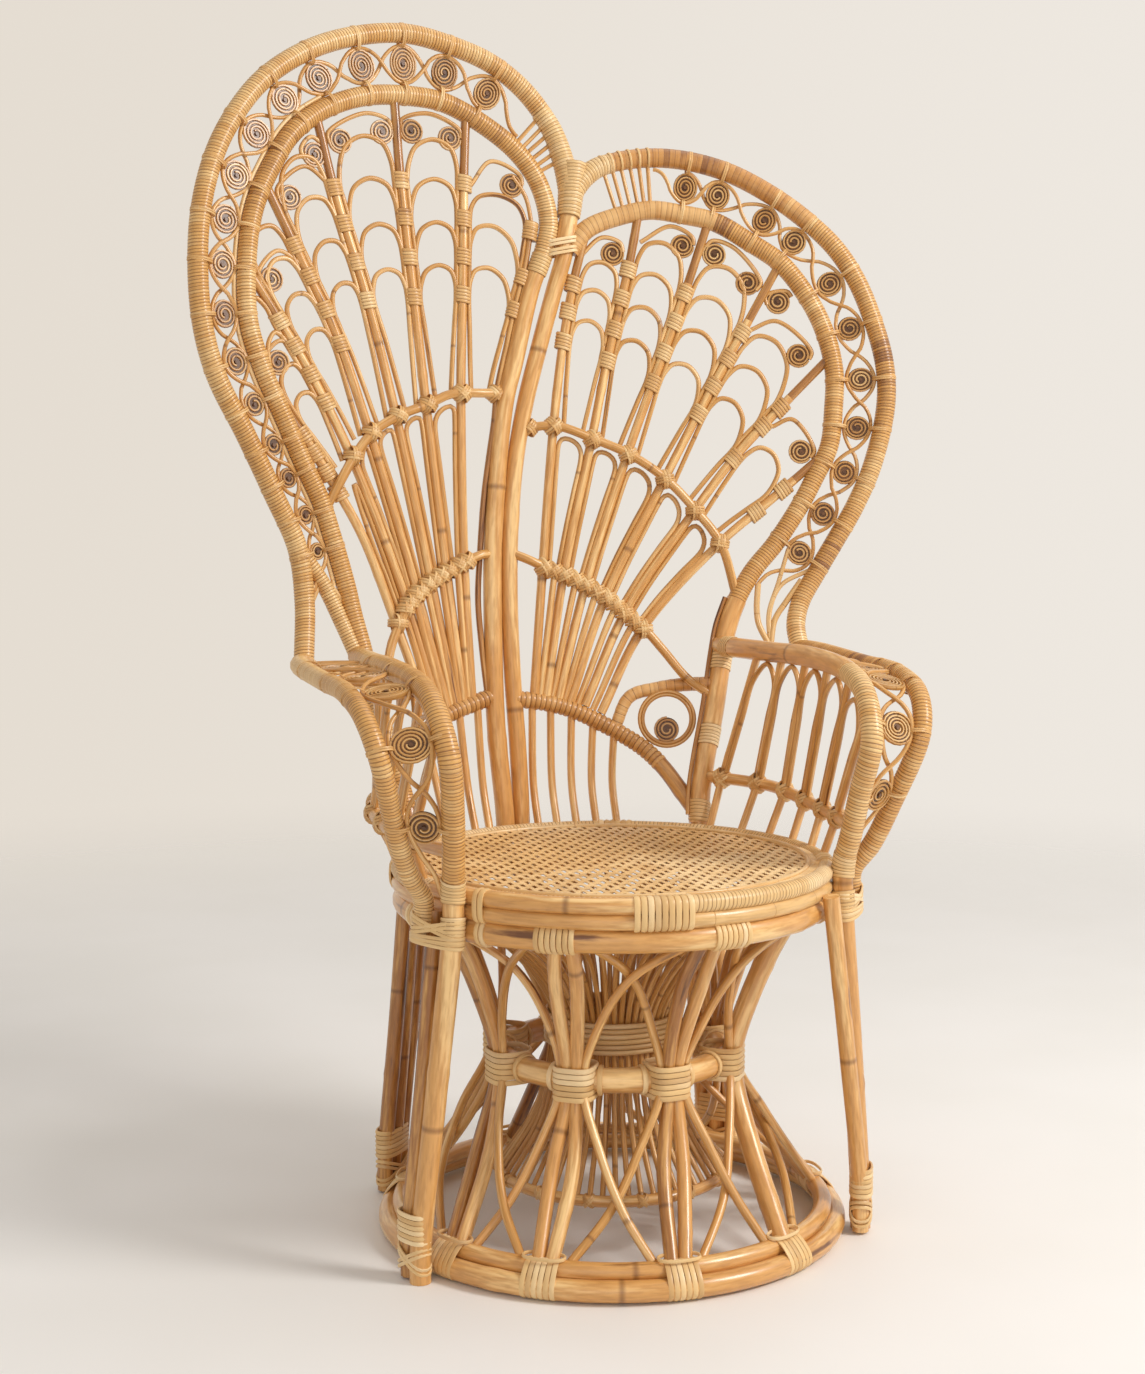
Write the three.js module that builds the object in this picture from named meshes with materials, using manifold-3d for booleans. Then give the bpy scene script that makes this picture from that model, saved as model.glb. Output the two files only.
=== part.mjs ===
// A rattan peacock chair: a fan-shaped back of two unequal lobes, two arms with scrollwork between
// their rails, a round caned seat and a base of bent struts round a waisted inner cone.
// Millimetres, +Z up, the sitter looks towards -Y, the floor is z = 0.

import * as THREE from "three";
import * as BufferGeometryUtils from "three/addons/utils/BufferGeometryUtils.js";
import Module from "manifold-3d";

const wasm = await Module();
wasm.setup();

// Driving dimensions

const SEAT_HEIGHT = 440; // floor to the top of the seat
const SEAT_RADIUS = 260; // outside of the seat hoops
const BACK_HALF_WIDTH = 460;
const BACK_RISE = 980; // seat to the height that the rise shares count to
const BACK_LEAN = 98; // how far the back leans over that rise
const BACK_DISH_RADIUS = 1110; // plan radius of the back, high up
const SEAT_DISH_RADIUS = 227; // and at the seat, which it goes round
const DISH_RISE = 320; // height over which the one becomes the other
const ARM_RISE = 228; // seat to the centre of the arm rail
const FIT_GAP = 0.3; // air between two pieces that touch
const PASS_GAP = 0.9; // air between two reeds that pass each other

// Poles and reeds, by radius

const BACK_HOOP_RADIUS = 11.5;
const CENTRE_POST_RADIUS = 9;
const ARM_RAIL_RADIUS = 11;
const LEG_POLE_RADIUS = 9;
const SPOKE_RADIUS = 5;
const BAND_RADIUS = 4.5;
const LOWER_BAND_RADIUS = 9;
const SCALLOP_RADIUS = 2.4;
const FINE_REED_RADIUS = 2.1;
const FOOT_REED_RADIUS = 3.6;
const SPINDLE_RADIUS = 4.2;
const CROSSBAR_RADIUS = 7;
const STRUT_RADIUS = 7.2;
const CROSS_REED_RADIUS = 4.6;
const CONE_REED_RADIUS = 4;
const CONE_RING_RADIUS = 6;

// Seat and base hoops

const SEAT_HOOP_RADIUS = 9.5;
const WEB_THICKNESS = 3;
const WEB_DROP = 2; // top of the cane web below the top of the seat hoops
const APRON_HOOP_RADIUS = 12.5;
const APRON_INSET = 3; // outside of the apron hoop from the outside of the seat hoops
const GROUND_RADIUS = 280;
const GROUND_HOOP_RADIUS = 14;
const GROUND_INNER_HOOP_RADIUS = 11;
const WAIST_RADIUS = 129;
const WAIST_HEIGHT = 207;
const WAIST_HOOP_RADIUS = 14.5;
const CONE_WAIST_RADIUS = 72;
const CONE_WAIST_HEIGHT = 240;
const CONE_FOOT_RADIUS = 135;
const CONE_FOOT_HEIGHT = 68;
const CONE_BAND_HEIGHT = 36;
const CONE_BAND_THICKNESS = 5;

// Cane lashings

const LASHING_HEIGHT = 36;
const LASHING_THICKNESS = 3;
const POLE_BITE_SHARE = 0.8; // of a pole's radius, from the middle of a tied pair
const ROSETTE_BITE_SHARE = 0.5; // of a rosette's radius, where it lies against a spoke
const CROWN_LASHING_RADIUS = 17;
const LEG_LASHING_LEVEL = 62; // its middle over the floor

// Scrollwork

const ROSETTE_RADIUS = 12; // of the rosettes that hang on the spokes
const SCROLL_RING_RADIUS = 36; // the ring beside the seat
const SCROLL_ROSETTE_RADIUS = 16; // and the rosette in it
const SCROLL_ROSETTE_SHARE = 0.76; // of half the room between two rails
const SCROLL_BITE_SHARE = 1.7; // of a reed's radius: how far from the rail a rosette's edge lies

// Counts and facets

const STRUT_COUNT = 8;
const CONE_REED_COUNT = 16;
const HOOP_STEPS = 24;
const POLE_SIDES = 6;
const SPOKE_SIDES = 4;
const REED_SIDES = 3;
const ROSETTE_SIDES = 8;
const SCROLL_STEPS = 4; // from one rosette to the next
const RAIL_SAMPLES = 300;
const LEFT_BORDER_COUNT = 17; // rosettes
const RIGHT_BORDER_COUNT = 11;
const ARM_ROSETTE_COUNT = 4;
const SPINDLE_COUNT = 6;
const POST_STEPS = 14;
const INNER_LEFT_STEPS = 46;
const INNER_RIGHT_STEPS = 34;
const OUTER_LEFT_STEPS = 28;
const OUTER_RIGHT_STEPS = 23;
const BRACE_STEPS = 5;
const CROWN_STEPS = 1;
const BAND_STEPS = 9;
const LOWER_BAND_STEPS = 10;
const SPOKE_STEPS = 5;
const ARM_RAIL_STEPS = 26;
const ARM_OUTER_STEPS = 15;
const CROSSBAR_STEPS = 6;
const SCROLL_ARM_STEPS = 6;

// Legs: turn from the front at the seat and at the floor, in degrees, and their stand there

const FLOOR_LEG_RADIUS = 296;
const FRONT_LEG_TURNS = [59.5, 65.5];
const BACK_LEG_TURNS = [135.5, 132];

// Poles beside a leg: paces from it at the seat and at the floor, each pace a leg and a pole wide

const FRONT_POLE_SHARES = { left: [[-1.4, -1]], right: [[-3, -1]] };
const BACK_POLE_SHARES = [[-1, -1], [1, 1]];

// Struts: turns from the front at the waist and at the ground, and the apron's lead on the waist

const STRUT_WAIST_START = -37.6;
const STRUT_APRON_LEAD = 3.5;
const STRUT_GROUND_TURNS = [-37, -3, 30, 85, 140, 190, 242, 296];
const GROUND_INNER_TURN = 50; // how far up round the ground hoop the inner one lies

// Bends of the base's poles and reeds, as shares of the way from the waist: out, round, up or down

const SHOULDER_SHARES = [0.5, 0.5, 0.66];
const SHIN_SHARES = [0.34, 0.5, 0.5];
const CROSS_RISE_SHARES = [[0.45, 0.6, 0.65], [0.12, 0.25, 0.3]];
const CROSS_FALL_SHARES = [[0.25, 0.33, 0.36], [0.6, 0.66, 0.7]];
const CONE_SHOULDER_SHARES = [0.34, 1, 0.66];
const CONE_SHIN_SHARES = [0.3, 1, 0.6];

// Outlines of the back: shares of its half width, from the middle, and of its rise, from the seat

const OUTER_LEFT_SHARES = [
  [-0.69, 0.225], [-0.675, 0.3], [-0.69, 0.365], [-0.755, 0.435], [-0.825, 0.505], [-0.905, 0.58],
  [-0.94, 0.65], [-0.94, 0.75], [-0.91, 0.82], [-0.855, 0.88], [-0.75, 0.945], [-0.615, 0.99],
  [-0.475, 1.015], [-0.325, 1.025], [-0.195, 1.015], [-0.075, 0.995], [0.025, 0.96], [0.095, 0.915],
  [0.13, 0.87], [0.15, 0.82],
];
const OUTER_RIGHT_SHARES = [
  [0.15, 0.83], [0.185, 0.85], [0.23, 0.865], [0.3, 0.875], [0.405, 0.88], [0.51, 0.875],
  [0.615, 0.86], [0.73, 0.83], [0.825, 0.795], [0.895, 0.76], [0.95, 0.715], [0.99, 0.66],
  [1.015, 0.605], [1.015, 0.55], [0.975, 0.47], [0.925, 0.415], [0.865, 0.365], [0.815, 0.325],
  [0.765, 0.285], [0.745, 0.255], [0.745, 0.225],
];
const INNER_LEFT_SHARES = [
  [-0.108, -0.04], [-0.108, 0.005], [-0.125, 0.13], [-0.122, 0.285], [-0.113, 0.38], [-0.068, 0.55],
  [-0.035, 0.605], [0.02, 0.7], [0.065, 0.755], [0.08, 0.79], [0.055, 0.84], [-0.005, 0.88],
  [-0.105, 0.915], [-0.22, 0.94], [-0.335, 0.945], [-0.45, 0.94], [-0.565, 0.92], [-0.665, 0.885],
  [-0.73, 0.84], [-0.78, 0.79], [-0.805, 0.735], [-0.81, 0.65], [-0.775, 0.59], [-0.71, 0.52],
  [-0.665, 0.47], [-0.62, 0.425], [-0.59, 0.38], [-0.555, 0.32], [-0.535, 0.275], [-0.515, 0.235],
  [-0.49, 0.17], [-0.45, 0.09], [-0.425, 0.035], [-0.413, 0],
];
const INNER_RIGHT_SHARES = [
  [0.14, 0.752], [0.165, 0.77], [0.2, 0.785], [0.28, 0.8], [0.38, 0.81], [0.47, 0.805],
  [0.565, 0.795], [0.655, 0.77], [0.745, 0.74], [0.82, 0.69], [0.86, 0.645], [0.88, 0.595],
  [0.875, 0.545], [0.86, 0.495], [0.815, 0.45], [0.775, 0.415], [0.705, 0.365], [0.635, 0.325],
  [0.585, 0.285], [0.55, 0.245], [0.53, 0.21], [0.49, 0.14], [0.45, 0.08], [0.425, 0.035], [0.413, 0],
];
const POST_SHARES = [
  [0.157, 0.84], [0.146, 0.81], [0.128, 0.756], [0.09, 0.7], [0.041, 0.626], [-0.006, 0.551],
  [-0.042, 0.471], [-0.064, 0.379], [-0.072, 0.286], [-0.07, 0.194], [-0.062, 0.102],
  [-0.058, 0.01], [-0.058, -0.04],
];
const CROWN_SHARES = [[0.152, 0.862], [0.14, 0.785]]; // the lashing where the lobes meet
const FORK_BRACE_SHARES = [[-0.695, 0.37], [-0.62, 0.32], [-0.57, 0.27], [-0.53, 0.225]];

// The fan's spokes, from the lower band up to the inner hoop, in the same shares

const LEFT_SPOKE_SHARES = [
  [[-0.195, 0.165], [-0.203, 0.345], [-0.196, 0.56], [-0.182, 0.69], [-0.168, 0.83], [-0.155, 0.927]],
  [[-0.22, 0.16], [-0.255, 0.33], [-0.3, 0.545], [-0.327, 0.69], [-0.354, 0.835], [-0.365, 0.945]],
  [[-0.245, 0.158], [-0.304, 0.325], [-0.389, 0.53], [-0.461, 0.675], [-0.545, 0.81], [-0.595, 0.91]],
  [[-0.27, 0.155], [-0.348, 0.31], [-0.469, 0.51], [-0.558, 0.635], [-0.645, 0.72], [-0.75, 0.82]],
  [[-0.298, 0.152], [-0.378, 0.293], [-0.525, 0.48], [-0.643, 0.59], [-0.704, 0.637], [-0.805, 0.71]],
  [[-0.33, 0.15], [-0.411, 0.266], [-0.498, 0.377], [-0.576, 0.443], [-0.669, 0.51], [-0.73, 0.55]],
];
const RIGHT_SPOKE_SHARES = [
  [[-0.007, 0.168], [0.03, 0.334], [0.075, 0.52], [0.112, 0.632], [0.15, 0.715], [0.19, 0.78]],
  [[0.028, 0.163], [0.093, 0.329], [0.186, 0.503], [0.242, 0.613], [0.311, 0.734], [0.345, 0.807]],
  [[0.063, 0.16], [0.157, 0.314], [0.289, 0.483], [0.374, 0.584], [0.469, 0.698], [0.545, 0.797]],
  [[0.098, 0.156], [0.214, 0.296], [0.394, 0.45], [0.494, 0.535], [0.629, 0.647], [0.74, 0.74]],
  [[0.14, 0.15], [0.271, 0.276], [0.478, 0.408], [0.598, 0.48], [0.733, 0.548], [0.87, 0.615]],
  [[0.185, 0.14], [0.316, 0.251], [0.546, 0.364], [0.686, 0.419], [0.86, 0.49]],
];
const BINDING_SHARES = [0.69, 0.755, 0.82, 0.88]; // along a spoke, where the scallops spring
const ARCH_SHARES = [[0, 0], [0.05, 0.62], [0.5, 1], [0.95, 0.62], [1, 0]]; // of its span and rise
const ARCH_RISE_SHARE = 0.78; // of its span
const LEFT_BINDING_SHIFT_SHARES = [0, -0.02, -0.005, 0, 0, 0]; // of each spoke's bindings
const RIGHT_BINDING_SHIFT_SHARES = [0, 0, -0.034, -0.042, -0.03, 0];
const LAST_LANDING_SHARE = 0.97; // of a spoke, past which no scallop comes down on it

// Rosettes that hang on the spokes: which spoke, how far along it, and to which side

const LEFT_ROSETTES = [
  { spoke: 0, share: 0.94, side: -1 }, { spoke: 1, share: 0.955, side: 1 },
  { spoke: 1, share: 0.94, side: -1 }, { spoke: 2, share: 0.95, side: 1 },
  { spoke: 2, share: 0.94, side: -1 }, { spoke: 3, share: 0.95, side: 1 },
  { spoke: 4, share: 0.95, side: 1 },
];
const RIGHT_ROSETTES = [
  { spoke: 0, share: 0.935, side: 1 }, { spoke: 1, share: 0.94, side: 1 },
  { spoke: 2, share: 0.96, side: -1 }, { spoke: 2, share: 0.955, side: 1 },
  { spoke: 3, share: 0.95, side: -1 }, { spoke: 3, share: 0.95, side: 1 },
  { spoke: 4, share: 0.94, side: -1 },
];
const LEFT_SPOKES = {
  table: LEFT_SPOKE_SHARES,
  shifts: LEFT_BINDING_SHIFT_SHARES,
  rosettes: LEFT_ROSETTES,
};
const RIGHT_SPOKES = {
  table: RIGHT_SPOKE_SHARES,
  shifts: RIGHT_BINDING_SHIFT_SHARES,
  rosettes: RIGHT_ROSETTES,
};

// The bands that cross the spokes, and the reeds from the lower bands to the seat

const LEFT_BAND_SHARES = {
  upper: [[-0.068, 0.563], [-0.145, 0.562], [-0.236, 0.56], [-0.3, 0.547], [-0.389, 0.532],
    [-0.469, 0.51], [-0.525, 0.48], [-0.576, 0.443], [-0.61, 0.41]],
  middle: [[-0.122, 0.353], [-0.158, 0.352], [-0.204, 0.343], [-0.255, 0.332], [-0.306, 0.318],
    [-0.348, 0.304], [-0.383, 0.287], [-0.434, 0.245], [-0.46, 0.21], [-0.49, 0.17]],
  lower: [[-0.124, 0.168], [-0.161, 0.163], [-0.221, 0.155], [-0.29, 0.143], [-0.37, 0.115], [-0.45, 0.09]],
};
const RIGHT_BAND_SHARES = {
  upper: [[-0.025, 0.517], [0.075, 0.52], [0.186, 0.503], [0.289, 0.483], [0.394, 0.45],
    [0.478, 0.408], [0.546, 0.364], [0.59, 0.29]],
  middle: [[-0.068, 0.355], [-0.027, 0.346], [0.03, 0.334], [0.09, 0.324], [0.148, 0.311],
    [0.207, 0.294], [0.265, 0.271], [0.316, 0.251], [0.37, 0.221], [0.43, 0.185], [0.5, 0.16]],
  lower: [[-0.068, 0.162], [-0.01, 0.159], [0.06, 0.152], [0.12, 0.142], [0.18, 0.128],
    [0.24, 0.112], [0.3, 0.092], [0.345, 0.068], [0.38, 0.04], [0.413, 0.01]],
};
const LEFT_FOOT_REED_SHARES = [[-0.18, -0.17], [-0.235, -0.215], [-0.29, -0.26], [-0.345, -0.305]];
const RIGHT_FOOT_REED_SHARES = [[-0.015, -0.02], [0.04, 0.035], [0.1, 0.09], [0.16, 0.145], [0.22, 0.2]];
const SCROLL_ARM_SHARES = [[0.22, 0.118], [0.268, 0.161], [0.347, 0.172], [0.425, 0.177], [0.51, 0.178]];
const SCROLL_RING_SHARES = [0.366, 0.132];
const FOOT_REED_BEND_SHARES = [0.7, 0.05]; // of the way to the seat, and of the back's rise

// Arms: shares of the seat radius across and along, and of the arm's rise over the seat

const ARM_START_SHARES = [0.53, 0.228]; // where the rail leaves the back, as a share of the back
const ARM_INNER_SHARES = [
  [0.985, 0.45, 0.99], [1.0, 0.08, 1.0], [0.99, -0.36, 0.965], [0.98, -0.55, 0.88],
  [0.955, -0.68, 0.66], [0.925, -0.63, 0.38], [0.91, -0.58, 0.17],
];
const ARM_OUTER_SHARES = [
  [1.3, 0.6, 0.975], [1.3, 0.1, 0.95], [1.29, -0.3, 0.93], [1.27, -0.52, 0.84], [1.23, -0.61, 0.66],
  [1.14, -0.52, 0.3], [1.07, -0.46, 0.08], [1.0, -0.42, -0.05],
];
const CROSSBAR_START_SHARES = [0.435, 0.06];
const CROSSBAR_SHARES = [[0.99, 0.5, 0.24], [1.03, 0.15, 0.21], [1.0, -0.25, 0.19], [0.915, -0.6, 0.2]];

const SPINDLE_TOP_SHARES = [0.1, 0.4]; // along the inner rail
const SPINDLE_FOOT_SHARES = [0.08, 0.76]; // and along the crossbar
const ARM_SCROLL_SHARES = [0.08, 0.86]; // along the outer rail
const BORDER_SHARES = { left: [0.09, 0.9], right: [0.14, 0.86] }; // along the outer hoops

// Finishes

const HONEY = { color: 0xd39a4f, roughness: 0.5, metalness: 0 };
const PALE_CANE = { color: 0xe0b573, roughness: 0.6, metalness: 0 };
const DARK_POLE = { color: 0xb67a35, roughness: 0.45, metalness: 0 };

// Levels and radii that follow from the sizes above

const FULL_TURN = 360; // degrees
const DEGREE = (2 * Math.PI) / FULL_TURN;
const UP = new THREE.Vector3(0, 0, 1);
const { lerp, clamp } = THREE.MathUtils;
const facetShare = Math.cos(Math.PI / POLE_SIDES); // a flat side's distance over a corner's
const hoopFacetShare = Math.cos(Math.PI / HOOP_STEPS);
const spokeFacetShare = Math.cos(Math.PI / SPOKE_SIDES);
const seatHoopLine = SEAT_RADIUS - SEAT_HOOP_RADIUS;
const upperHoopLevel = SEAT_HEIGHT - SEAT_HOOP_RADIUS * facetShare;
const lowerHoopLevel = upperHoopLevel - 2 * SEAT_HOOP_RADIUS * facetShare - FIT_GAP;
const seatUnderside = lowerHoopLevel - SEAT_HOOP_RADIUS * facetShare;
const apronLevel = seatUnderside - FIT_GAP - APRON_HOOP_RADIUS * facetShare;
const apronLine = SEAT_RADIUS - APRON_INSET - APRON_HOOP_RADIUS;
const groundLine = GROUND_RADIUS - GROUND_HOOP_RADIUS;
const groundLevel = GROUND_HOOP_RADIUS * facetShare;
const groundPair = (GROUND_HOOP_RADIUS + GROUND_INNER_HOOP_RADIUS) * sideShare(GROUND_INNER_TURN) + FIT_GAP;
const groundInnerLine = groundLine - groundPair * Math.cos(GROUND_INNER_TURN * DEGREE);
const groundInnerLevel = groundLevel + groundPair * Math.sin(GROUND_INNER_TURN * DEGREE);
const backDepth = SEAT_RADIUS + BACK_HOOP_RADIUS + FIT_GAP;
const legRing = SEAT_RADIUS + ARM_RAIL_RADIUS + FIT_GAP;
const bandLift = SPOKE_RADIUS + BAND_RADIUS + PASS_GAP;
const reedLift = SPOKE_RADIUS + FINE_REED_RADIUS + PASS_GAP;

// How far a faceted hoop's side lies from its middle in a direction, as a share of a corner's

function sideShare(turn) {
  const facet = FULL_TURN / POLE_SIDES;
  return facetShare / Math.cos(((turn % facet) - facet / 2) * DEGREE);
}

// Solids

function solidOf(geometry) {
  geometry.deleteAttribute("normal");
  geometry.deleteAttribute("uv");
  const merged = BufferGeometryUtils.mergeVertices(geometry);
  return new wasm.Manifold(
    new wasm.Mesh({
      numProp: 3,
      vertProperties: Float32Array.from(merged.attributes.position.array),
      triVerts: Uint32Array.from(merged.index.array),
    }),
  );
}

function sectionShape(radius, sides) {
  const points = [];
  for (let i = 0; i < sides; i += 1) {
    const turn = (2 * Math.PI * (i + 0.5)) / sides;
    points.push(new THREE.Vector2(radius * Math.cos(turn), radius * Math.sin(turn)));
  }
  return new THREE.Shape(points);
}

function through(points) {
  return new THREE.CatmullRomCurve3(points, false, "centripetal");
}

function rodSolid(curve, radius, sides, steps) {
  const shape = sectionShape(radius, sides);
  return solidOf(new THREE.ExtrudeGeometry(shape, { steps, extrudePath: curve, bevelEnabled: false }));
}

function hoopSolid(line, radius, level, steps) {
  const geometry = new THREE.TorusGeometry(line, radius, POLE_SIDES, steps);
  geometry.translate(0, 0, level);
  return solidOf(geometry);
}

// A lashing is a block of cane turns round the poles that it ties, with its height upright

function lashingSolid(place, turn, [wide, deep, tall]) {
  const geometry = new THREE.BoxGeometry(wide, deep, tall);
  geometry.rotateZ(turn * DEGREE);
  geometry.translate(place.x, place.y, place.z);
  return solidOf(geometry);
}

// A piece gathers its solids, each twice: as it is, and grown all round by the air that its
// neighbours leave. Pieces made earlier run through; the later ones are fitted against them.

class Piece {
  constructor(name, finish) {
    this.name = name;
    this.finish = finish;
    this.bodies = [];
    this.envelopes = [];
  }

  add(make) {
    this.bodies.push(make(0));
    this.envelopes.push(make(FIT_GAP));
    return this;
  }

  rod(curve, radius, sides, steps) {
    return this.add((grow) => rodSolid(curve, radius + grow, sides, steps));
  }

  hoop(line, radius, level, steps = HOOP_STEPS) {
    return this.add((grow) => hoopSolid(line, radius + grow, level, steps));
  }

  lashing(place, turn, sizes) {
    return this.add((grow) => lashingSolid(place, turn, sizes.map((size) => size + 2 * grow)));
  }

  join() {
    this.body = wasm.Manifold.union(this.bodies);
    this.envelope = wasm.Manifold.union(this.envelopes);
  }
}

function boxesMeet(a, b) {
  const first = a.boundingBox();
  const second = b.boundingBox();
  return [0, 1, 2].every((i) => first.min[i] < second.max[i] && second.min[i] < first.max[i]);
}

function fitPieces(pieces) {
  pieces.forEach((piece, index) => {
    piece.join();
    for (const earlier of pieces.slice(0, index)) {
      if (boxesMeet(piece.body, earlier.envelope)) {
        piece.body = piece.body.subtract(earlier.envelope);
      }
    }
  });
}

// What a cut leaves loose at a piece's end is trimmed off, and said

function mainBody(piece) {
  const parts = piece.body.decompose();
  parts.sort((a, b) => b.volume() - a.volume());
  if (parts.length > 1) {
    const offcuts = parts.slice(1).map((part) => part.volume().toFixed(1));
    console.log(`${piece.name}: offcuts of ${offcuts.join(", ")} mm3`);
  }
  return parts[0];
}

// Places

function dishAt(height) {
  const high = 1 / (2 * BACK_DISH_RADIUS);
  const low = 1 / (2 * SEAT_DISH_RADIUS);
  return high + (low - high) * (1 - clamp(height / DISH_RISE, 0, 1)) ** 2;
}

function backNormal([across, up]) {
  const x = across * BACK_HALF_WIDTH;
  return new THREE.Vector3(2 * dishAt(up * BACK_RISE) * x, 1, -BACK_LEAN / BACK_RISE).normalize();
}

function backPoint([across, up], lift = 0) {
  const x = across * BACK_HALF_WIDTH;
  const height = up * BACK_RISE;
  const lean = (BACK_LEAN / BACK_RISE) * Math.max(0, height);
  const y = backDepth + lean - dishAt(height) * x * x;
  const point = new THREE.Vector3(x, y, SEAT_HEIGHT + height);
  return point.addScaledVector(backNormal([across, up]), -lift);
}

function backCurve(shares) {
  return through(shares.map((share) => backPoint(share)));
}

function polar(radius, degrees, level) {
  const turn = degrees * DEGREE;
  return new THREE.Vector3(radius * Math.sin(turn), -radius * Math.cos(turn), level);
}

function between(from, to, [out, round, up]) {
  return polar(
    lerp(from.radius, to.radius, out), lerp(from.turn, to.turn, round), lerp(from.level, to.level, up));
}

function armPoint([across, along, up], side) {
  return new THREE.Vector3(side * across * SEAT_RADIUS, along * SEAT_RADIUS, SEAT_HEIGHT + up * ARM_RISE);
}

function seatHoopPoint(across) {
  const x = across * BACK_HALF_WIDTH;
  return new THREE.Vector3(x, Math.sqrt(seatHoopLine ** 2 - x * x), upperHoopLevel);
}

function nearest(samples, place) {
  let best = samples[0];
  for (const sample of samples) {
    if (sample.distanceTo(place) < best.distanceTo(place)) best = sample;
  }
  return best;
}

// A curve whose stations are the very points it is given

class Stations extends THREE.CatmullRomCurve3 {
  getUtoTmapping(share) {
    return share;
  }
}

function stationRod(piece, points, radius, sides) {
  return piece.rod(new Stations(points, false, "centripetal"), radius, sides, points.length - 1);
}

// Rosettes: coils of fine reed wound so tightly that they read as small discs. Two of its corners
// lie along the outward direction.

function rosetteSolid({ centre, outward, along }, radius, half) {
  const face = outward.clone().cross(along).normalize();
  const geometry = new THREE.CylinderGeometry(radius, radius, 2 * half, ROSETTE_SIDES);
  const frame = new THREE.Matrix4().makeBasis(face.clone().cross(outward), face, outward);
  frame.setPosition(centre);
  geometry.applyMatrix4(frame);
  return solidOf(geometry);
}

function addRosette(piece, place, radius) {
  return piece.add((grow) => rosetteSolid(place, radius + grow, FINE_REED_RADIUS + grow));
}

// Scrollwork between two rails: two reeds that swing from rail to rail and pass each other
// between the rosettes, one in front and one behind

class RailPair {
  constructor(first, second, radius, [from, to]) {
    Object.assign(this, { first, radius, from, to });
    this.samples = second.getSpacedPoints(RAIL_SAMPLES);
  }

  at(share) {
    const start = this.first.getPointAt(lerp(this.from, this.to, share));
    const across = nearest(this.samples, start).clone().sub(start);
    const half = across.length() / 2 - this.radius;
    across.normalize();
    const middle = start.clone().addScaledVector(across, this.radius + half);
    return { middle, across, half };
  }

  frame(share) {
    const { middle, across, half } = this.at(share);
    const before = this.at(clamp(share - 1 / RAIL_SAMPLES, 0, 1)).middle;
    const along = this.at(clamp(share + 1 / RAIL_SAMPLES, 0, 1)).middle.sub(before);
    along.addScaledVector(across, -along.dot(across)).normalize();
    return { middle, across, half, along, face: across.clone().cross(along) };
  }
}

function addScrollReed(piece, pair, count, side) {
  const points = [];
  const last = count * SCROLL_STEPS;
  for (let i = 0; i <= last; i += 1) {
    const { middle, across, half, face } = pair.frame(i / last);
    const phase = Math.PI * (i / SCROLL_STEPS - 0.5);
    const swing = side * (half - FINE_REED_RADIUS - 2 * FIT_GAP) * Math.cos(phase);
    const tied = i === 0 || i === last; // both reeds start and end at one place
    const pass = tied ? 0 : side * (FINE_REED_RADIUS + FIT_GAP) * Math.abs(Math.sin(phase));
    points.push(middle.clone().addScaledVector(across, swing).addScaledVector(face, pass));
  }
  stationRod(piece, points, FINE_REED_RADIUS, REED_SIDES);
}

function makeScrollwork(name, pair, count) {
  const piece = new Piece(name, PALE_CANE);
  addScrollReed(piece, pair, count, 1);
  addScrollReed(piece, pair, count, -1);
  for (let i = 0; i < count; i += 1) {
    const { middle, across, half, along } = pair.frame((i + 0.5) / count);
    const radius = half * SCROLL_ROSETTE_SHARE;
    const reach = half - FINE_REED_RADIUS * SCROLL_BITE_SHARE;
    const centre = middle.clone().addScaledVector(across, reach - radius);
    addRosette(piece, { centre, outward: across, along }, radius);
  }
  return piece;
}

// Seat

function webSolid(grow) {
  const radius = seatHoopLine + grow;
  const geometry = new THREE.CylinderGeometry(radius, radius, WEB_THICKNESS + 2 * grow, HOOP_STEPS);
  geometry.rotateX(Math.PI / 2);
  geometry.translate(0, 0, SEAT_HEIGHT - WEB_DROP - WEB_THICKNESS / 2);
  return solidOf(geometry);
}

function makeSeat() {
  return [
    new Piece("seat_hoop_upper", HONEY).hoop(seatHoopLine, SEAT_HOOP_RADIUS, upperHoopLevel),
    new Piece("seat_hoop_lower", HONEY).hoop(seatHoopLine, SEAT_HOOP_RADIUS, lowerHoopLevel),
    new Piece("apron_hoop", HONEY).hoop(apronLine, APRON_HOOP_RADIUS, apronLevel),
    new Piece("seat_web", PALE_CANE).add(webSolid),
  ];
}

// Base hoops

function makeBaseHoops() {
  return [
    new Piece("ground_hoop", HONEY).hoop(groundLine, GROUND_HOOP_RADIUS, groundLevel),
    new Piece("ground_hoop_inner", HONEY).hoop(groundInnerLine, GROUND_INNER_HOOP_RADIUS, groundInnerLevel),
    new Piece("waist_hoop", HONEY).hoop(WAIST_RADIUS, WAIST_HOOP_RADIUS, WAIST_HEIGHT),
  ];
}

// Struts: a pair of bent poles, and four reeds that cross the neighbours' reeds

function strutRadii() {
  return {
    top: apronLine - APRON_HOOP_RADIUS - STRUT_RADIUS - FIT_GAP,
    waist: (WAIST_RADIUS + WAIST_HOOP_RADIUS) * hoopFacetShare + STRUT_RADIUS * facetShare + FIT_GAP,
    foot: groundInnerLine,
  };
}

function strutGroundTurn(index) {
  const rounds = Math.floor(index / STRUT_COUNT);
  return STRUT_GROUND_TURNS[index - rounds * STRUT_COUNT] + FULL_TURN * rounds;
}

// A pole of the pair bends next to its twin and bites into it only where the waist lashing ties them

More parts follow.
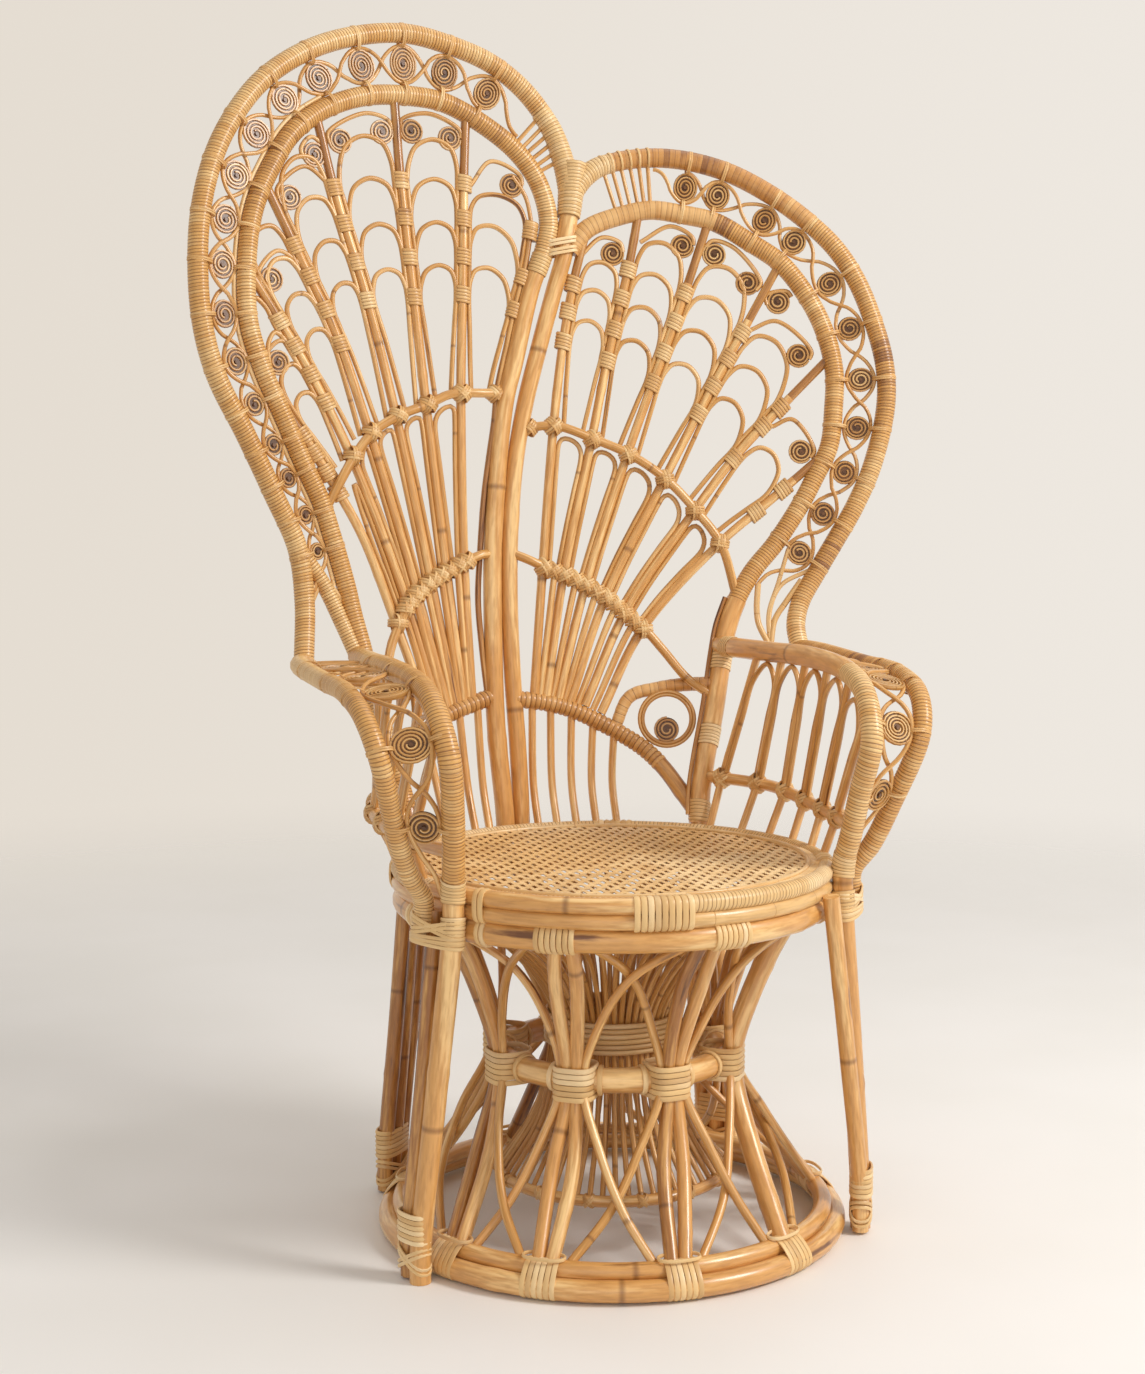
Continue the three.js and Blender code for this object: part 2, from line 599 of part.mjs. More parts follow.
function polePoints(index, side, waistTurn) {
  const radii = strutRadii();
  const apart = (side * (STRUT_RADIUS + FIT_GAP)) / DEGREE;
  const tiedTurn = waistTurn + (side * STRUT_RADIUS * POLE_BITE_SHARE) / DEGREE / radii.waist;
  const topTurn = waistTurn + STRUT_APRON_LEAD + apart / radii.top;
  const footTurn = strutGroundTurn(index) + apart / radii.foot;
  const apron = { radius: radii.top, turn: topTurn, level: apronLevel };
  const waist = { radius: radii.waist, turn: waistTurn + (2 * apart) / radii.waist, level: WAIST_HEIGHT };
  const ground = { radius: radii.foot, turn: footTurn, level: groundInnerLevel };
  return [
    polar(radii.top, topTurn, apronLevel + APRON_HOOP_RADIUS / 2),
    between(waist, apron, SHOULDER_SHARES),
    polar(radii.waist, tiedTurn, WAIST_HEIGHT + LASHING_HEIGHT / 2),
    polar(radii.waist, tiedTurn, WAIST_HEIGHT - LASHING_HEIGHT / 2),
    between(waist, ground, SHIN_SHARES),
    polar(radii.foot, footTurn, groundInnerLevel),
  ];
}

function crossReedPoints(index, side, waistTurn) {
  const radii = strutRadii();
  const start = STRUT_RADIUS * (1 + POLE_BITE_SHARE) * side;
  const end = (2 * STRUT_RADIUS + 2 * CROSS_REED_RADIUS) * side;
  const lift = side * (CROSS_REED_RADIUS + FIT_GAP);
  const turn = waistTurn + start / radii.waist / DEGREE;
  const nextTurn = waistTurn + STRUT_APRON_LEAD + (side * FULL_TURN) / STRUT_COUNT;
  const apronTurn = nextTurn - end / apronLine / DEGREE;
  const footTurn = strutGroundTurn(index + side) - end / groundInnerLine / DEGREE;
  const waist = { radius: radii.waist + lift, turn, level: WAIST_HEIGHT };
  const apron = { radius: radii.top + lift, turn: apronTurn, level: apronLevel };
  const ground = { radius: radii.foot + lift, turn: footTurn, level: groundInnerLevel };
  return [
    polar(apronLine, apronTurn, apronLevel),
    ...CROSS_RISE_SHARES.map((shares) => between(waist, apron, shares)),
    polar(radii.waist, turn, WAIST_HEIGHT),
    ...CROSS_FALL_SHARES.map((shares) => between(waist, ground, shares)),
    polar(groundInnerLine, footTurn, groundInnerLevel),
  ];
}

function makeStrut(index) {
  const piece = new Piece(`base_strut_${index + 1}`, index % 2 ? DARK_POLE : HONEY);
  const waistTurn = STRUT_WAIST_START + (FULL_TURN * index) / STRUT_COUNT;
  for (const side of [-1, 1]) {
    stationRod(piece, polePoints(index, side, waistTurn), STRUT_RADIUS, POLE_SIDES);
    stationRod(piece, crossReedPoints(index, side, waistTurn), CROSS_REED_RADIUS, REED_SIDES);
  }
  return piece;
}

// The waisted inner cone of reeds, on its foot ring, with its cane band

function makeCone() {
  const reeds = new Piece("inner_cone", HONEY);
  reeds.hoop(CONE_FOOT_RADIUS, CONE_RING_RADIUS, CONE_FOOT_HEIGHT, CONE_REED_COUNT);
  const reach = CONE_BAND_HEIGHT / 2 + CONE_REED_RADIUS;
  for (let i = 0; i < CONE_REED_COUNT; i += 1) {
    const turn = STRUT_WAIST_START + STRUT_APRON_LEAD + (FULL_TURN * (i + 0.5)) / CONE_REED_COUNT;
    const foot = { radius: CONE_FOOT_RADIUS, turn, level: CONE_FOOT_HEIGHT };
    const waist = { radius: CONE_WAIST_RADIUS, turn, level: CONE_WAIST_HEIGHT };
    const apron = { radius: apronLine, turn, level: apronLevel };
    stationRod(reeds, [
      polar(CONE_FOOT_RADIUS, turn, CONE_FOOT_HEIGHT),
      between(waist, foot, CONE_SHIN_SHARES),
      polar(CONE_WAIST_RADIUS, turn, CONE_WAIST_HEIGHT - reach),
      polar(CONE_WAIST_RADIUS, turn, CONE_WAIST_HEIGHT + reach),
      between(waist, apron, CONE_SHOULDER_SHARES),
      polar(apronLine, turn, apronLevel),
    ], CONE_REED_RADIUS, REED_SIDES);
  }
  const band = new Piece("inner_cone_band", PALE_CANE).add((grow) => {
    const inner = CONE_WAIST_RADIUS + CONE_REED_RADIUS + FIT_GAP - grow;
    const outer = inner + CONE_BAND_THICKNESS + 2 * grow;
    const half = CONE_BAND_HEIGHT / 2 + grow;
    const profile = [[inner, -half], [outer, -half], [outer, half], [inner, half], [inner, -half]];
    const points = profile.map(([radius, level]) => new THREE.Vector2(radius, level));
    const geometry = new THREE.LatheGeometry(points, CONE_REED_COUNT);
    geometry.rotateX(Math.PI / 2);
    geometry.rotateZ((STRUT_WAIST_START + STRUT_APRON_LEAD + FULL_TURN / (2 * CONE_REED_COUNT)) * DEGREE);
    geometry.translate(0, 0, CONE_WAIST_HEIGHT);
    return solidOf(geometry);
  });
  return [reeds, band];
}

// Legs run on from the back's inner hoops and from the inner arm rails, straight at the floor

function legPoints(side, [seatTurn, floorTurn]) {
  return [
    polar(legRing, side * seatTurn, seatUnderside),
    polar(lerp(legRing, FLOOR_LEG_RADIUS, 0.5), side * lerp(seatTurn, floorTurn, 0.5), SEAT_HEIGHT / 2),
    polar(FLOOR_LEG_RADIUS, side * floorTurn, LEG_LASHING_LEVEL / 2),
    polar(FLOOR_LEG_RADIUS, side * floorTurn, 0),
  ];
}

function makeLegPoles(name, side, [seatTurn, floorTurn], poles) {
  const piece = new Piece(name, DARK_POLE);
  const pace = (ARM_RAIL_RADIUS + LEG_POLE_RADIUS + FIT_GAP) / DEGREE;
  const poleRing = SEAT_RADIUS + LEG_POLE_RADIUS + FIT_GAP;
  for (const [atSeat, atFloor] of poles) {
    const top = side * seatTurn + (atSeat * pace) / poleRing;
    const foot = side * floorTurn + (atFloor * pace) / FLOOR_LEG_RADIUS;
    stationRod(piece, [
      polar(poleRing, top, lowerHoopLevel),
      polar(lerp(poleRing, FLOOR_LEG_RADIUS, 0.5), lerp(top, foot, 0.5), SEAT_HEIGHT / 2),
      polar(FLOOR_LEG_RADIUS, foot, LEG_LASHING_LEVEL - LASHING_HEIGHT / 2),
      polar(FLOOR_LEG_RADIUS, foot, LASHING_THICKNESS),
    ], LEG_POLE_RADIUS, POLE_SIDES);
  }
  const offset = poles.reduce((sum, [, atFloor]) => sum + atFloor, 0) / 2;
  const middle = side * floorTurn + (offset * pace) / FLOOR_LEG_RADIUS;
  const wide = 2 * (ARM_RAIL_RADIUS + poles.length * LEG_POLE_RADIUS + LASHING_THICKNESS);
  const deep = 2 * (ARM_RAIL_RADIUS + LASHING_THICKNESS);
  return piece.lashing(
    polar(FLOOR_LEG_RADIUS, middle, LEG_LASHING_LEVEL), middle, [wide, deep, LASHING_HEIGHT]);
}

// Back hoops and posts

function makeBack() {
  const backPoints = (shares) => shares.map((share) => backPoint(share));
  const curves = {
    outerLeft: backCurve(OUTER_LEFT_SHARES),
    outerRight: backCurve(OUTER_RIGHT_SHARES),
    innerLeft: through([...backPoints(INNER_LEFT_SHARES), ...legPoints(-1, BACK_LEG_TURNS)]),
    innerRight: through([...backPoints(INNER_RIGHT_SHARES), ...legPoints(1, BACK_LEG_TURNS)]),
    post: backCurve(POST_SHARES),
    brace: backCurve(FORK_BRACE_SHARES),
  };
  const hoop = (name, finish, curve, steps) =>
    new Piece(name, finish).rod(curve, BACK_HOOP_RADIUS, POLE_SIDES, steps);
  const pieces = [
    new Piece("centre_post", HONEY).rod(curves.post, CENTRE_POST_RADIUS, POLE_SIDES, POST_STEPS),
    hoop("inner_hoop_left", HONEY, curves.innerLeft, INNER_LEFT_STEPS),
    hoop("inner_hoop_right", HONEY, curves.innerRight, INNER_RIGHT_STEPS),
    hoop("outer_hoop_left", PALE_CANE, curves.outerLeft, OUTER_LEFT_STEPS),
    hoop("outer_hoop_right", PALE_CANE, curves.outerRight, OUTER_RIGHT_STEPS),
  ];
  const brace = new Piece("left_fork_brace", PALE_CANE);
  brace.rod(curves.brace, CENTRE_POST_RADIUS, POLE_SIDES, BRACE_STEPS);
  return { curves, pieces, brace };
}

function makeCrown() {
  const piece = new Piece("crown_lashing", PALE_CANE);
  return piece.rod(backCurve(CROWN_SHARES), CROWN_LASHING_RADIUS, POLE_SIDES, CROWN_STEPS);
}

// Spokes of the fan, with their scallops towards the next spoke and the rosettes that hang on them

function archPoints(start, end, up) {
  const span = end.clone().sub(start);
  const rise = ARCH_RISE_SHARE * span.length();
  return ARCH_SHARES.map(([across, high]) =>
    start.clone().addScaledVector(span, across).addScaledVector(up, high * rise));
}

// A scallop springs from inside its own spoke and comes down beside the next one, as far along it

function addScallops(piece, curve, shift, landing, nextRadius) {
  for (const binding of BINDING_SHARES) {
    const share = binding + shift;
    const own = curve.getPointAt(share);
    const other = landing(own, share * curve.getLength());
    if (!other) continue;
    const way = other.clone().sub(own).normalize();
    const start = own.clone().addScaledVector(way, SPOKE_RADIUS * spokeFacetShare);
    const end = other.clone().addScaledVector(way, -(nextRadius + SCALLOP_RADIUS + FIT_GAP));
    stationRod(piece, archPoints(start, end, curve.getTangentAt(share)), SCALLOP_RADIUS, REED_SIDES);
  }
}

function landingOn(spoke) {
  return (own, distance) => {
    const share = distance / spoke.getLength();
    return share < LAST_LANDING_SHARE ? spoke.getPointAt(share) : null;
  };
}

function hangRosette(piece, curve, normal, { share, side }) {
  const along = curve.getTangentAt(share);
  const outward = along.clone().cross(normal).multiplyScalar(side).normalize();
  const reach = SPOKE_RADIUS + ROSETTE_RADIUS * ROSETTE_BITE_SHARE;
  const centre = curve.getPointAt(share).addScaledVector(outward, reach);
  addRosette(piece, { centre, outward, along }, ROSETTE_RADIUS);
}

function makeSpokes(hand, { table, shifts, rosettes }, innerCurve, innerRadius) {
  const curves = table.map((shares) => backCurve(shares));
  const samples = innerCurve.getSpacedPoints(RAIL_SAMPLES);
  return curves.map((curve, index) => {
    const piece = new Piece(`${hand}_spoke_${index + 1}`, index % 2 ? HONEY : DARK_POLE);
    piece.rod(curve, SPOKE_RADIUS, SPOKE_SIDES, SPOKE_STEPS);
    const next = curves[index + 1];
    const shift = shifts[index];
    if (next) addScallops(piece, curve, shift, landingOn(next), SPOKE_RADIUS);
    if (index === 0) addScallops(piece, curve, shift, (own) => nearest(samples, own), innerRadius);
    const normal = backNormal(table[index].at(-1));
    for (const rosette of rosettes.filter(({ spoke }) => spoke === index)) {
      hangRosette(piece, curve, normal, rosette);
    }
    return piece;
  });
}

// Bands: the two upper ones cross in front of the spokes, and the lower one carries them

function liftedCurve(shares) {
  const last = shares.length - 1;
  return through(shares.map((share, i) => backPoint(share, i === 0 || i === last ? 0 : bandLift)));
}

function makeUpperBand(hand, bands) {
  const piece = new Piece(`${hand}_band_upper`, PALE_CANE);
  return piece.rod(liftedCurve(bands.upper), BAND_RADIUS, SPOKE_SIDES, BAND_STEPS);
}

function makeMiddleBand(hand, bands, table) {
  const piece = new Piece(`${hand}_band_middle`, PALE_CANE);
  piece.rod(liftedCurve(bands.middle), BAND_RADIUS, SPOKE_SIDES, BAND_STEPS);
  for (let i = 0; i + 1 < table.length; i += 1) {
    const halfway = (row) => table[i][row].map((share, axis) => lerp(share, table[i + 1][row][axis], 0.5));
    const points = [0, 1, 2].map((row) => backPoint(halfway(row), row === 0 ? 0 : reedLift));
    stationRod(piece, points, FINE_REED_RADIUS, REED_SIDES);
  }
  return piece;
}

function makeLowerBand(hand, bands, reeds) {
  const piece = new Piece(`${hand}_band_lower`, PALE_CANE);
  const curve = backCurve(bands.lower);
  piece.rod(curve, LOWER_BAND_RADIUS, POLE_SIDES, LOWER_BAND_STEPS);
  const samples = curve.getSpacedPoints(RAIL_SAMPLES);
  const [bendShare, bendUpShare] = FOOT_REED_BEND_SHARES;
  for (const [onBand, onSeat] of reeds) {
    const x = onBand * BACK_HALF_WIDTH;
    const closer = (best, point) => (Math.abs(point.x - x) < Math.abs(best.x - x) ? point : best);
    const bend = backPoint([lerp(onBand, onSeat, bendShare), bendUpShare]);
    const points = [samples.reduce(closer), bend, seatHoopPoint(onSeat)];
    stationRod(piece, points, FOOT_REED_RADIUS, REED_SIDES);
  }
  return piece;
}

// The ring with a rosette beside the seat, under its own short arm

function makeSeatScroll() {
  const piece = new Piece("seat_scroll", HONEY);
  piece.rod(backCurve(SCROLL_ARM_SHARES), CROSSBAR_RADIUS, POLE_SIDES, SCROLL_ARM_STEPS);
  const centre = backPoint(SCROLL_RING_SHARES);
  const face = backNormal(SCROLL_RING_SHARES);
  const across = UP.clone().cross(face).normalize();
  const up = face.clone().cross(across);
  const ring = [];
  const steps = 2 * ROSETTE_SIDES - 1;
  for (let i = 0; i <= steps; i += 1) {
    const turn = (2 * Math.PI * i) / (steps + 1) - Math.PI / 2;
    const point = centre.clone().addScaledVector(across, SCROLL_RING_RADIUS * Math.cos(turn));
    ring.push(point.addScaledVector(up, SCROLL_RING_RADIUS * Math.sin(turn)));
  }
  stationRod(piece, ring, FINE_REED_RADIUS, REED_SIDES);
  const low = centre.clone().addScaledVector(up, SCROLL_ROSETTE_RADIUS - SCROLL_RING_RADIUS);
  addRosette(piece, { centre: low, outward: up, along: across }, SCROLL_ROSETTE_RADIUS);
  return piece;
}

// Arms: the inner rail is one pole with the front leg, the outer rail stands out from it, and
// slanting spindles on a crossbar close the side over the seat

function makeArm(side, hand) {
  const atSide = (share) => armPoint(share, side);
  const outerTable = side < 0 ? OUTER_LEFT_SHARES : [...OUTER_RIGHT_SHARES].reverse();
  const curves = {
    inner: through([
      backPoint([side * ARM_START_SHARES[0], ARM_START_SHARES[1]]),
      ...ARM_INNER_SHARES.map(atSide),
      polar(legRing, side * FRONT_LEG_TURNS[0], SEAT_HEIGHT),
      ...legPoints(side, FRONT_LEG_TURNS),
    ]),
    outer: through([backPoint(outerTable[0]), ...ARM_OUTER_SHARES.map(atSide)]),
    crossbar: through([
      backPoint([side * CROSSBAR_START_SHARES[0], CROSSBAR_START_SHARES[1]]),
      ...CROSSBAR_SHARES.map(atSide),
    ]),
  };
  const rail = (name, finish, curve, steps) =>
    new Piece(`${hand}_${name}`, finish).rod(curve, ARM_RAIL_RADIUS, POLE_SIDES, steps);
  const rails = [
    rail("arm_rail_and_leg", HONEY, curves.inner, ARM_RAIL_STEPS),
    rail("arm_outer_rail", PALE_CANE, curves.outer, ARM_OUTER_STEPS),
  ];
  return { rails, curves, trim: [makeSpindles(hand, side, curves), makeArmScroll(hand, curves)] };
}

function makeSpindles(hand, side, { inner, crossbar }) {
  const piece = new Piece(`${hand}_arm_spindles`, HONEY);
  piece.rod(crossbar, CROSSBAR_RADIUS, POLE_SIDES, CROSSBAR_STEPS);
  for (let i = 0; i < SPINDLE_COUNT; i += 1) {
    const share = i / (SPINDLE_COUNT - 1);
    const top = inner.getPointAt(lerp(...SPINDLE_TOP_SHARES, share));
    const foot = crossbar.getPointAt(lerp(...SPINDLE_FOOT_SHARES, share));
    stationRod(piece, [top, foot], SPINDLE_RADIUS, REED_SIDES);
    if (i % 2) continue;
    const onSeat = foot.clone().setZ(0).setLength(seatHoopLine).setZ(upperHoopLevel);
    stationRod(piece, [foot, onSeat], SPINDLE_RADIUS, REED_SIDES);
  }
  return piece;
}

function makeArmScroll(hand, { inner, outer }) {
  const pair = new RailPair(outer, inner, ARM_RAIL_RADIUS, ARM_SCROLL_SHARES);
  return makeScrollwork(`${hand}_arm_scrollwork`, pair, ARM_ROSETTE_COUNT);
}

function makeBorder(hand, outer, inner, count) {
  const pair = new RailPair(outer, inner, BACK_HOOP_RADIUS, BORDER_SHARES[hand]);
  return makeScrollwork(`${hand}_border_scrollwork`, pair, count);
}

// The whole chair, in the order in which its pieces run through one another

function makePieces() {
  const back = makeBack();
  const arms = [makeArm(-1, "left"), makeArm(1, "right")];
  const struts = Array.from({ length: STRUT_COUNT }, (_, index) => makeStrut(index));
  return [
    ...makeSeat(),
    ...makeBaseHoops(),
    ...back.pieces,
    ...arms.flatMap((arm) => arm.rails),
    back.brace,
    makeCrown(),
    makeLegPoles("left_front_leg_poles", -1, FRONT_LEG_TURNS, FRONT_POLE_SHARES.left),
    makeLegPoles("right_front_leg_poles", 1, FRONT_LEG_TURNS, FRONT_POLE_SHARES.right),
    makeLegPoles("left_back_leg_poles", -1, BACK_LEG_TURNS, BACK_POLE_SHARES),
    makeLegPoles("right_back_leg_poles", 1, BACK_LEG_TURNS, BACK_POLE_SHARES),
    ...struts,
    ...makeCone(),
    makeLowerBand("left", LEFT_BAND_SHARES, LEFT_FOOT_REED_SHARES),
    makeLowerBand("right", RIGHT_BAND_SHARES, RIGHT_FOOT_REED_SHARES),
    makeUpperBand("left", LEFT_BAND_SHARES),
    makeUpperBand("right", RIGHT_BAND_SHARES),
    makeMiddleBand("left", LEFT_BAND_SHARES, LEFT_SPOKE_SHARES),
    makeMiddleBand("right", RIGHT_BAND_SHARES, RIGHT_SPOKE_SHARES),
    ...makeSpokes("left", LEFT_SPOKES, back.curves.innerLeft, BACK_HOOP_RADIUS),
    ...makeSpokes("right", RIGHT_SPOKES, back.curves.post, CENTRE_POST_RADIUS),
    makeSeatScroll(),
    ...arms.flatMap((arm) => arm.trim),
    makeBorder("left", back.curves.outerLeft, back.curves.innerLeft, LEFT_BORDER_COUNT),
    makeBorder("right", back.curves.outerRight, back.curves.innerRight, RIGHT_BORDER_COUNT),
  ];
}

function meshOf(piece) {
  const mesh = mainBody(piece).getMesh();
  const geometry = new THREE.BufferGeometry();
  geometry.setAttribute("position", new THREE.BufferAttribute(Float32Array.from(mesh.vertProperties), 3));
  geometry.setIndex(new THREE.BufferAttribute(Uint32Array.from(mesh.triVerts), 1));
  geometry.computeVertexNormals();
  const result = new THREE.Mesh(geometry, new THREE.MeshStandardMaterial(piece.finish));
  result.name = piece.name;
  return result;
}

// The origin lies on the floor under the middle of the chair's box

function makeChair() {
  const chair = new THREE.Group();
  const pieces = makePieces();
  fitPieces(pieces);
  for (const piece of pieces) chair.add(meshOf(piece));
  const box = new THREE.Box3().setFromObject(chair);
  const middle = box.getCenter(new THREE.Vector3());
  chair.position.set(-middle.x, -middle.y, -box.min.z);
  return chair;
}

export default makeChair();
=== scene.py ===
"""Dresses the rattan peacock chair: poles, reeds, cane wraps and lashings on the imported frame.

Places are worked out in millimetres round the middle of the seat, with the sitter looking towards
-Y, and become metres in the frame's own place when a mesh is made.
"""

import logging
import math
from dataclasses import dataclass
from enum import Enum
from typing import Optional, Sequence

import bpy
import numpy as np
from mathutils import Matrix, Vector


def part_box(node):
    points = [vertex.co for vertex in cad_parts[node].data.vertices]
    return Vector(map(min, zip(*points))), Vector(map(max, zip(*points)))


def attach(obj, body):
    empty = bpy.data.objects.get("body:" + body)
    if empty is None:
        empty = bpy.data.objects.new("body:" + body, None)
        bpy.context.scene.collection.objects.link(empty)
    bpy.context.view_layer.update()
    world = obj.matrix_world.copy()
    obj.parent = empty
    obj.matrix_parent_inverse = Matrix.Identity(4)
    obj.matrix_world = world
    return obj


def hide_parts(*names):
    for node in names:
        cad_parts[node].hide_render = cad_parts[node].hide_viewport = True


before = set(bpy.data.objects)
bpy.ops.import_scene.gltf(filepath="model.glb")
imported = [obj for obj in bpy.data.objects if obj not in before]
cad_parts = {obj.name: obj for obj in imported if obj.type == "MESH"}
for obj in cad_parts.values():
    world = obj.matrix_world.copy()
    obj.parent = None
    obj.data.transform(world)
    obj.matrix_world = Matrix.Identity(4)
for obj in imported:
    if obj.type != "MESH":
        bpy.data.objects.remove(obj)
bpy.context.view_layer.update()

Array = np.ndarray
Numbers = Sequence[float]
Table = Sequence[Numbers]
Socket = bpy.types.NodeSocket

MM = 0.001
FULL_TURN = 360
ARC_STEP = 2  # degrees between two samples of an arc
SMOOTH_ANGLE = 62  # degrees up to which two faces are shaded as one
UP = np.array([0.0, 0.0, 1.0])
log = logging.getLogger("peacock_chair")

# Outlines of the back: shares of its half width, from the middle, and of its rise, from the seat

OUTER_LEFT_SHARES = [
    [-0.69, 0.225], [-0.675, 0.3], [-0.69, 0.365], [-0.755, 0.435], [-0.825, 0.505], [-0.905, 0.58],
    [-0.94, 0.65], [-0.94, 0.75], [-0.91, 0.82], [-0.855, 0.88], [-0.75, 0.945], [-0.615, 0.99],
    [-0.475, 1.015], [-0.325, 1.025], [-0.195, 1.015], [-0.075, 0.995], [0.025, 0.96], [0.095, 0.915],
    [0.13, 0.87], [0.15, 0.82],
]
OUTER_RIGHT_SHARES = [
    [0.15, 0.83], [0.185, 0.85], [0.23, 0.865], [0.3, 0.875], [0.405, 0.88], [0.51, 0.875],
    [0.615, 0.86], [0.73, 0.83], [0.825, 0.795], [0.895, 0.76], [0.95, 0.715], [0.99, 0.66],
    [1.015, 0.605], [1.015, 0.55], [0.975, 0.47], [0.925, 0.415], [0.865, 0.365], [0.815, 0.325],
    [0.765, 0.285], [0.745, 0.255], [0.745, 0.225],
]
INNER_LEFT_SHARES = [
    [-0.108, -0.04], [-0.108, 0.005], [-0.125, 0.13], [-0.122, 0.285], [-0.113, 0.38], [-0.068, 0.55],
    [-0.035, 0.605], [0.02, 0.7], [0.065, 0.755], [0.08, 0.79], [0.055, 0.84], [-0.005, 0.88],
    [-0.105, 0.915], [-0.22, 0.94], [-0.335, 0.945], [-0.45, 0.94], [-0.565, 0.92], [-0.665, 0.885],
    [-0.73, 0.84], [-0.78, 0.79], [-0.805, 0.735], [-0.81, 0.65], [-0.775, 0.59], [-0.71, 0.52],
    [-0.665, 0.47], [-0.62, 0.425], [-0.59, 0.38], [-0.555, 0.32], [-0.535, 0.275], [-0.515, 0.235],
    [-0.49, 0.17], [-0.45, 0.09], [-0.425, 0.035], [-0.413, 0],
]
INNER_RIGHT_SHARES = [
    [0.14, 0.752], [0.165, 0.77], [0.2, 0.785], [0.28, 0.8], [0.38, 0.81], [0.47, 0.805],
    [0.565, 0.795], [0.655, 0.77], [0.745, 0.74], [0.82, 0.69], [0.86, 0.645], [0.88, 0.595],
    [0.875, 0.545], [0.86, 0.495], [0.815, 0.45], [0.775, 0.415], [0.705, 0.365], [0.635, 0.325],
    [0.585, 0.285], [0.55, 0.245], [0.53, 0.21], [0.49, 0.14], [0.45, 0.08], [0.425, 0.035], [0.413, 0],
]
POST_SHARES = [
    [0.157, 0.84], [0.146, 0.81], [0.128, 0.756], [0.09, 0.7], [0.041, 0.626], [-0.006, 0.551],
    [-0.042, 0.471], [-0.064, 0.379], [-0.072, 0.286], [-0.07, 0.194], [-0.062, 0.102],
    [-0.058, 0.01], [-0.058, -0.04],
]
CROWN_SHARES = [[0.157, 0.868], [0.152, 0.845], [0.14, 0.8], [0.118, 0.755]]
FORK_BRACE_SHARES = [[-0.695, 0.37], [-0.62, 0.32], [-0.57, 0.27], [-0.53, 0.225]]

# The fan's spokes, from the lower band up to the inner hoop, in the same shares

LEFT_SPOKE_SHARES = [
    [[-0.195, 0.165], [-0.203, 0.345], [-0.196, 0.56], [-0.182, 0.69], [-0.168, 0.83], [-0.155, 0.927]],
    [[-0.22, 0.16], [-0.255, 0.33], [-0.3, 0.545], [-0.327, 0.69], [-0.354, 0.835], [-0.365, 0.945]],
    [[-0.245, 0.158], [-0.304, 0.325], [-0.389, 0.53], [-0.461, 0.675], [-0.545, 0.81], [-0.595, 0.91]],
    [[-0.27, 0.155], [-0.348, 0.31], [-0.469, 0.51], [-0.558, 0.635], [-0.645, 0.72], [-0.75, 0.82]],
    [[-0.298, 0.152], [-0.378, 0.293], [-0.525, 0.48], [-0.643, 0.59], [-0.704, 0.637], [-0.805, 0.71]],
    [[-0.33, 0.15], [-0.411, 0.266], [-0.498, 0.377], [-0.576, 0.443], [-0.669, 0.51], [-0.73, 0.55]],
]
RIGHT_SPOKE_SHARES = [
    [[-0.007, 0.168], [0.03, 0.334], [0.075, 0.52], [0.112, 0.632], [0.15, 0.715], [0.19, 0.78]],
    [[0.028, 0.163], [0.093, 0.329], [0.186, 0.503], [0.242, 0.613], [0.311, 0.734], [0.345, 0.807]],
    [[0.063, 0.16], [0.157, 0.314], [0.289, 0.483], [0.374, 0.584], [0.469, 0.698], [0.545, 0.797]],
    [[0.098, 0.156], [0.214, 0.296], [0.394, 0.45], [0.494, 0.535], [0.629, 0.647], [0.74, 0.74]],
    [[0.14, 0.15], [0.271, 0.276], [0.478, 0.408], [0.598, 0.48], [0.733, 0.548], [0.87, 0.615]],
    [[0.185, 0.14], [0.316, 0.251], [0.546, 0.364], [0.686, 0.419], [0.86, 0.49]],
]
EVEN_BINDING_SHARES = [0.69, 0.755, 0.82, 0.88]  # along a spoke, where the scallops spring
BINDING_SHARES = {
    -1: [EVEN_BINDING_SHARES, [0.67, 0.735, 0.8, 0.86], *[EVEN_BINDING_SHARES] * 4],
    1: [[0.755, 0.82, 0.88], EVEN_BINDING_SHARES, [0.656, 0.721, 0.786, 0.846],
        [0.648, 0.713, 0.778, 0.838], [0.675, 0.776, 0.835], [0.729, 0.829]],
}
ARCH_SHARES = [[0.03, 0.45], [0.16, 0.82], [0.5, 1.0], [0.84, 0.82], [0.97, 0.45]]  # of its span and rise
ARCH_RISE_SHARE = 0.8
SIDE_ARCH_RISE_SHARES = [0.8, 0.78, 0.52]
LAST_LANDING_SHARE = 0.97
HAIRPIN_SHARES = [0, 0.35, 0.7, 1]  # of a hairpin's legs
ARCH_COUNTS = {-1: [4, 4, 4, 4, 4], 1: [3, 4, 4, 3, 1]}  # from each spoke to the next one

# Reeds that curl into rosettes under the inner hoop: left end, top, right end, and which ends curl

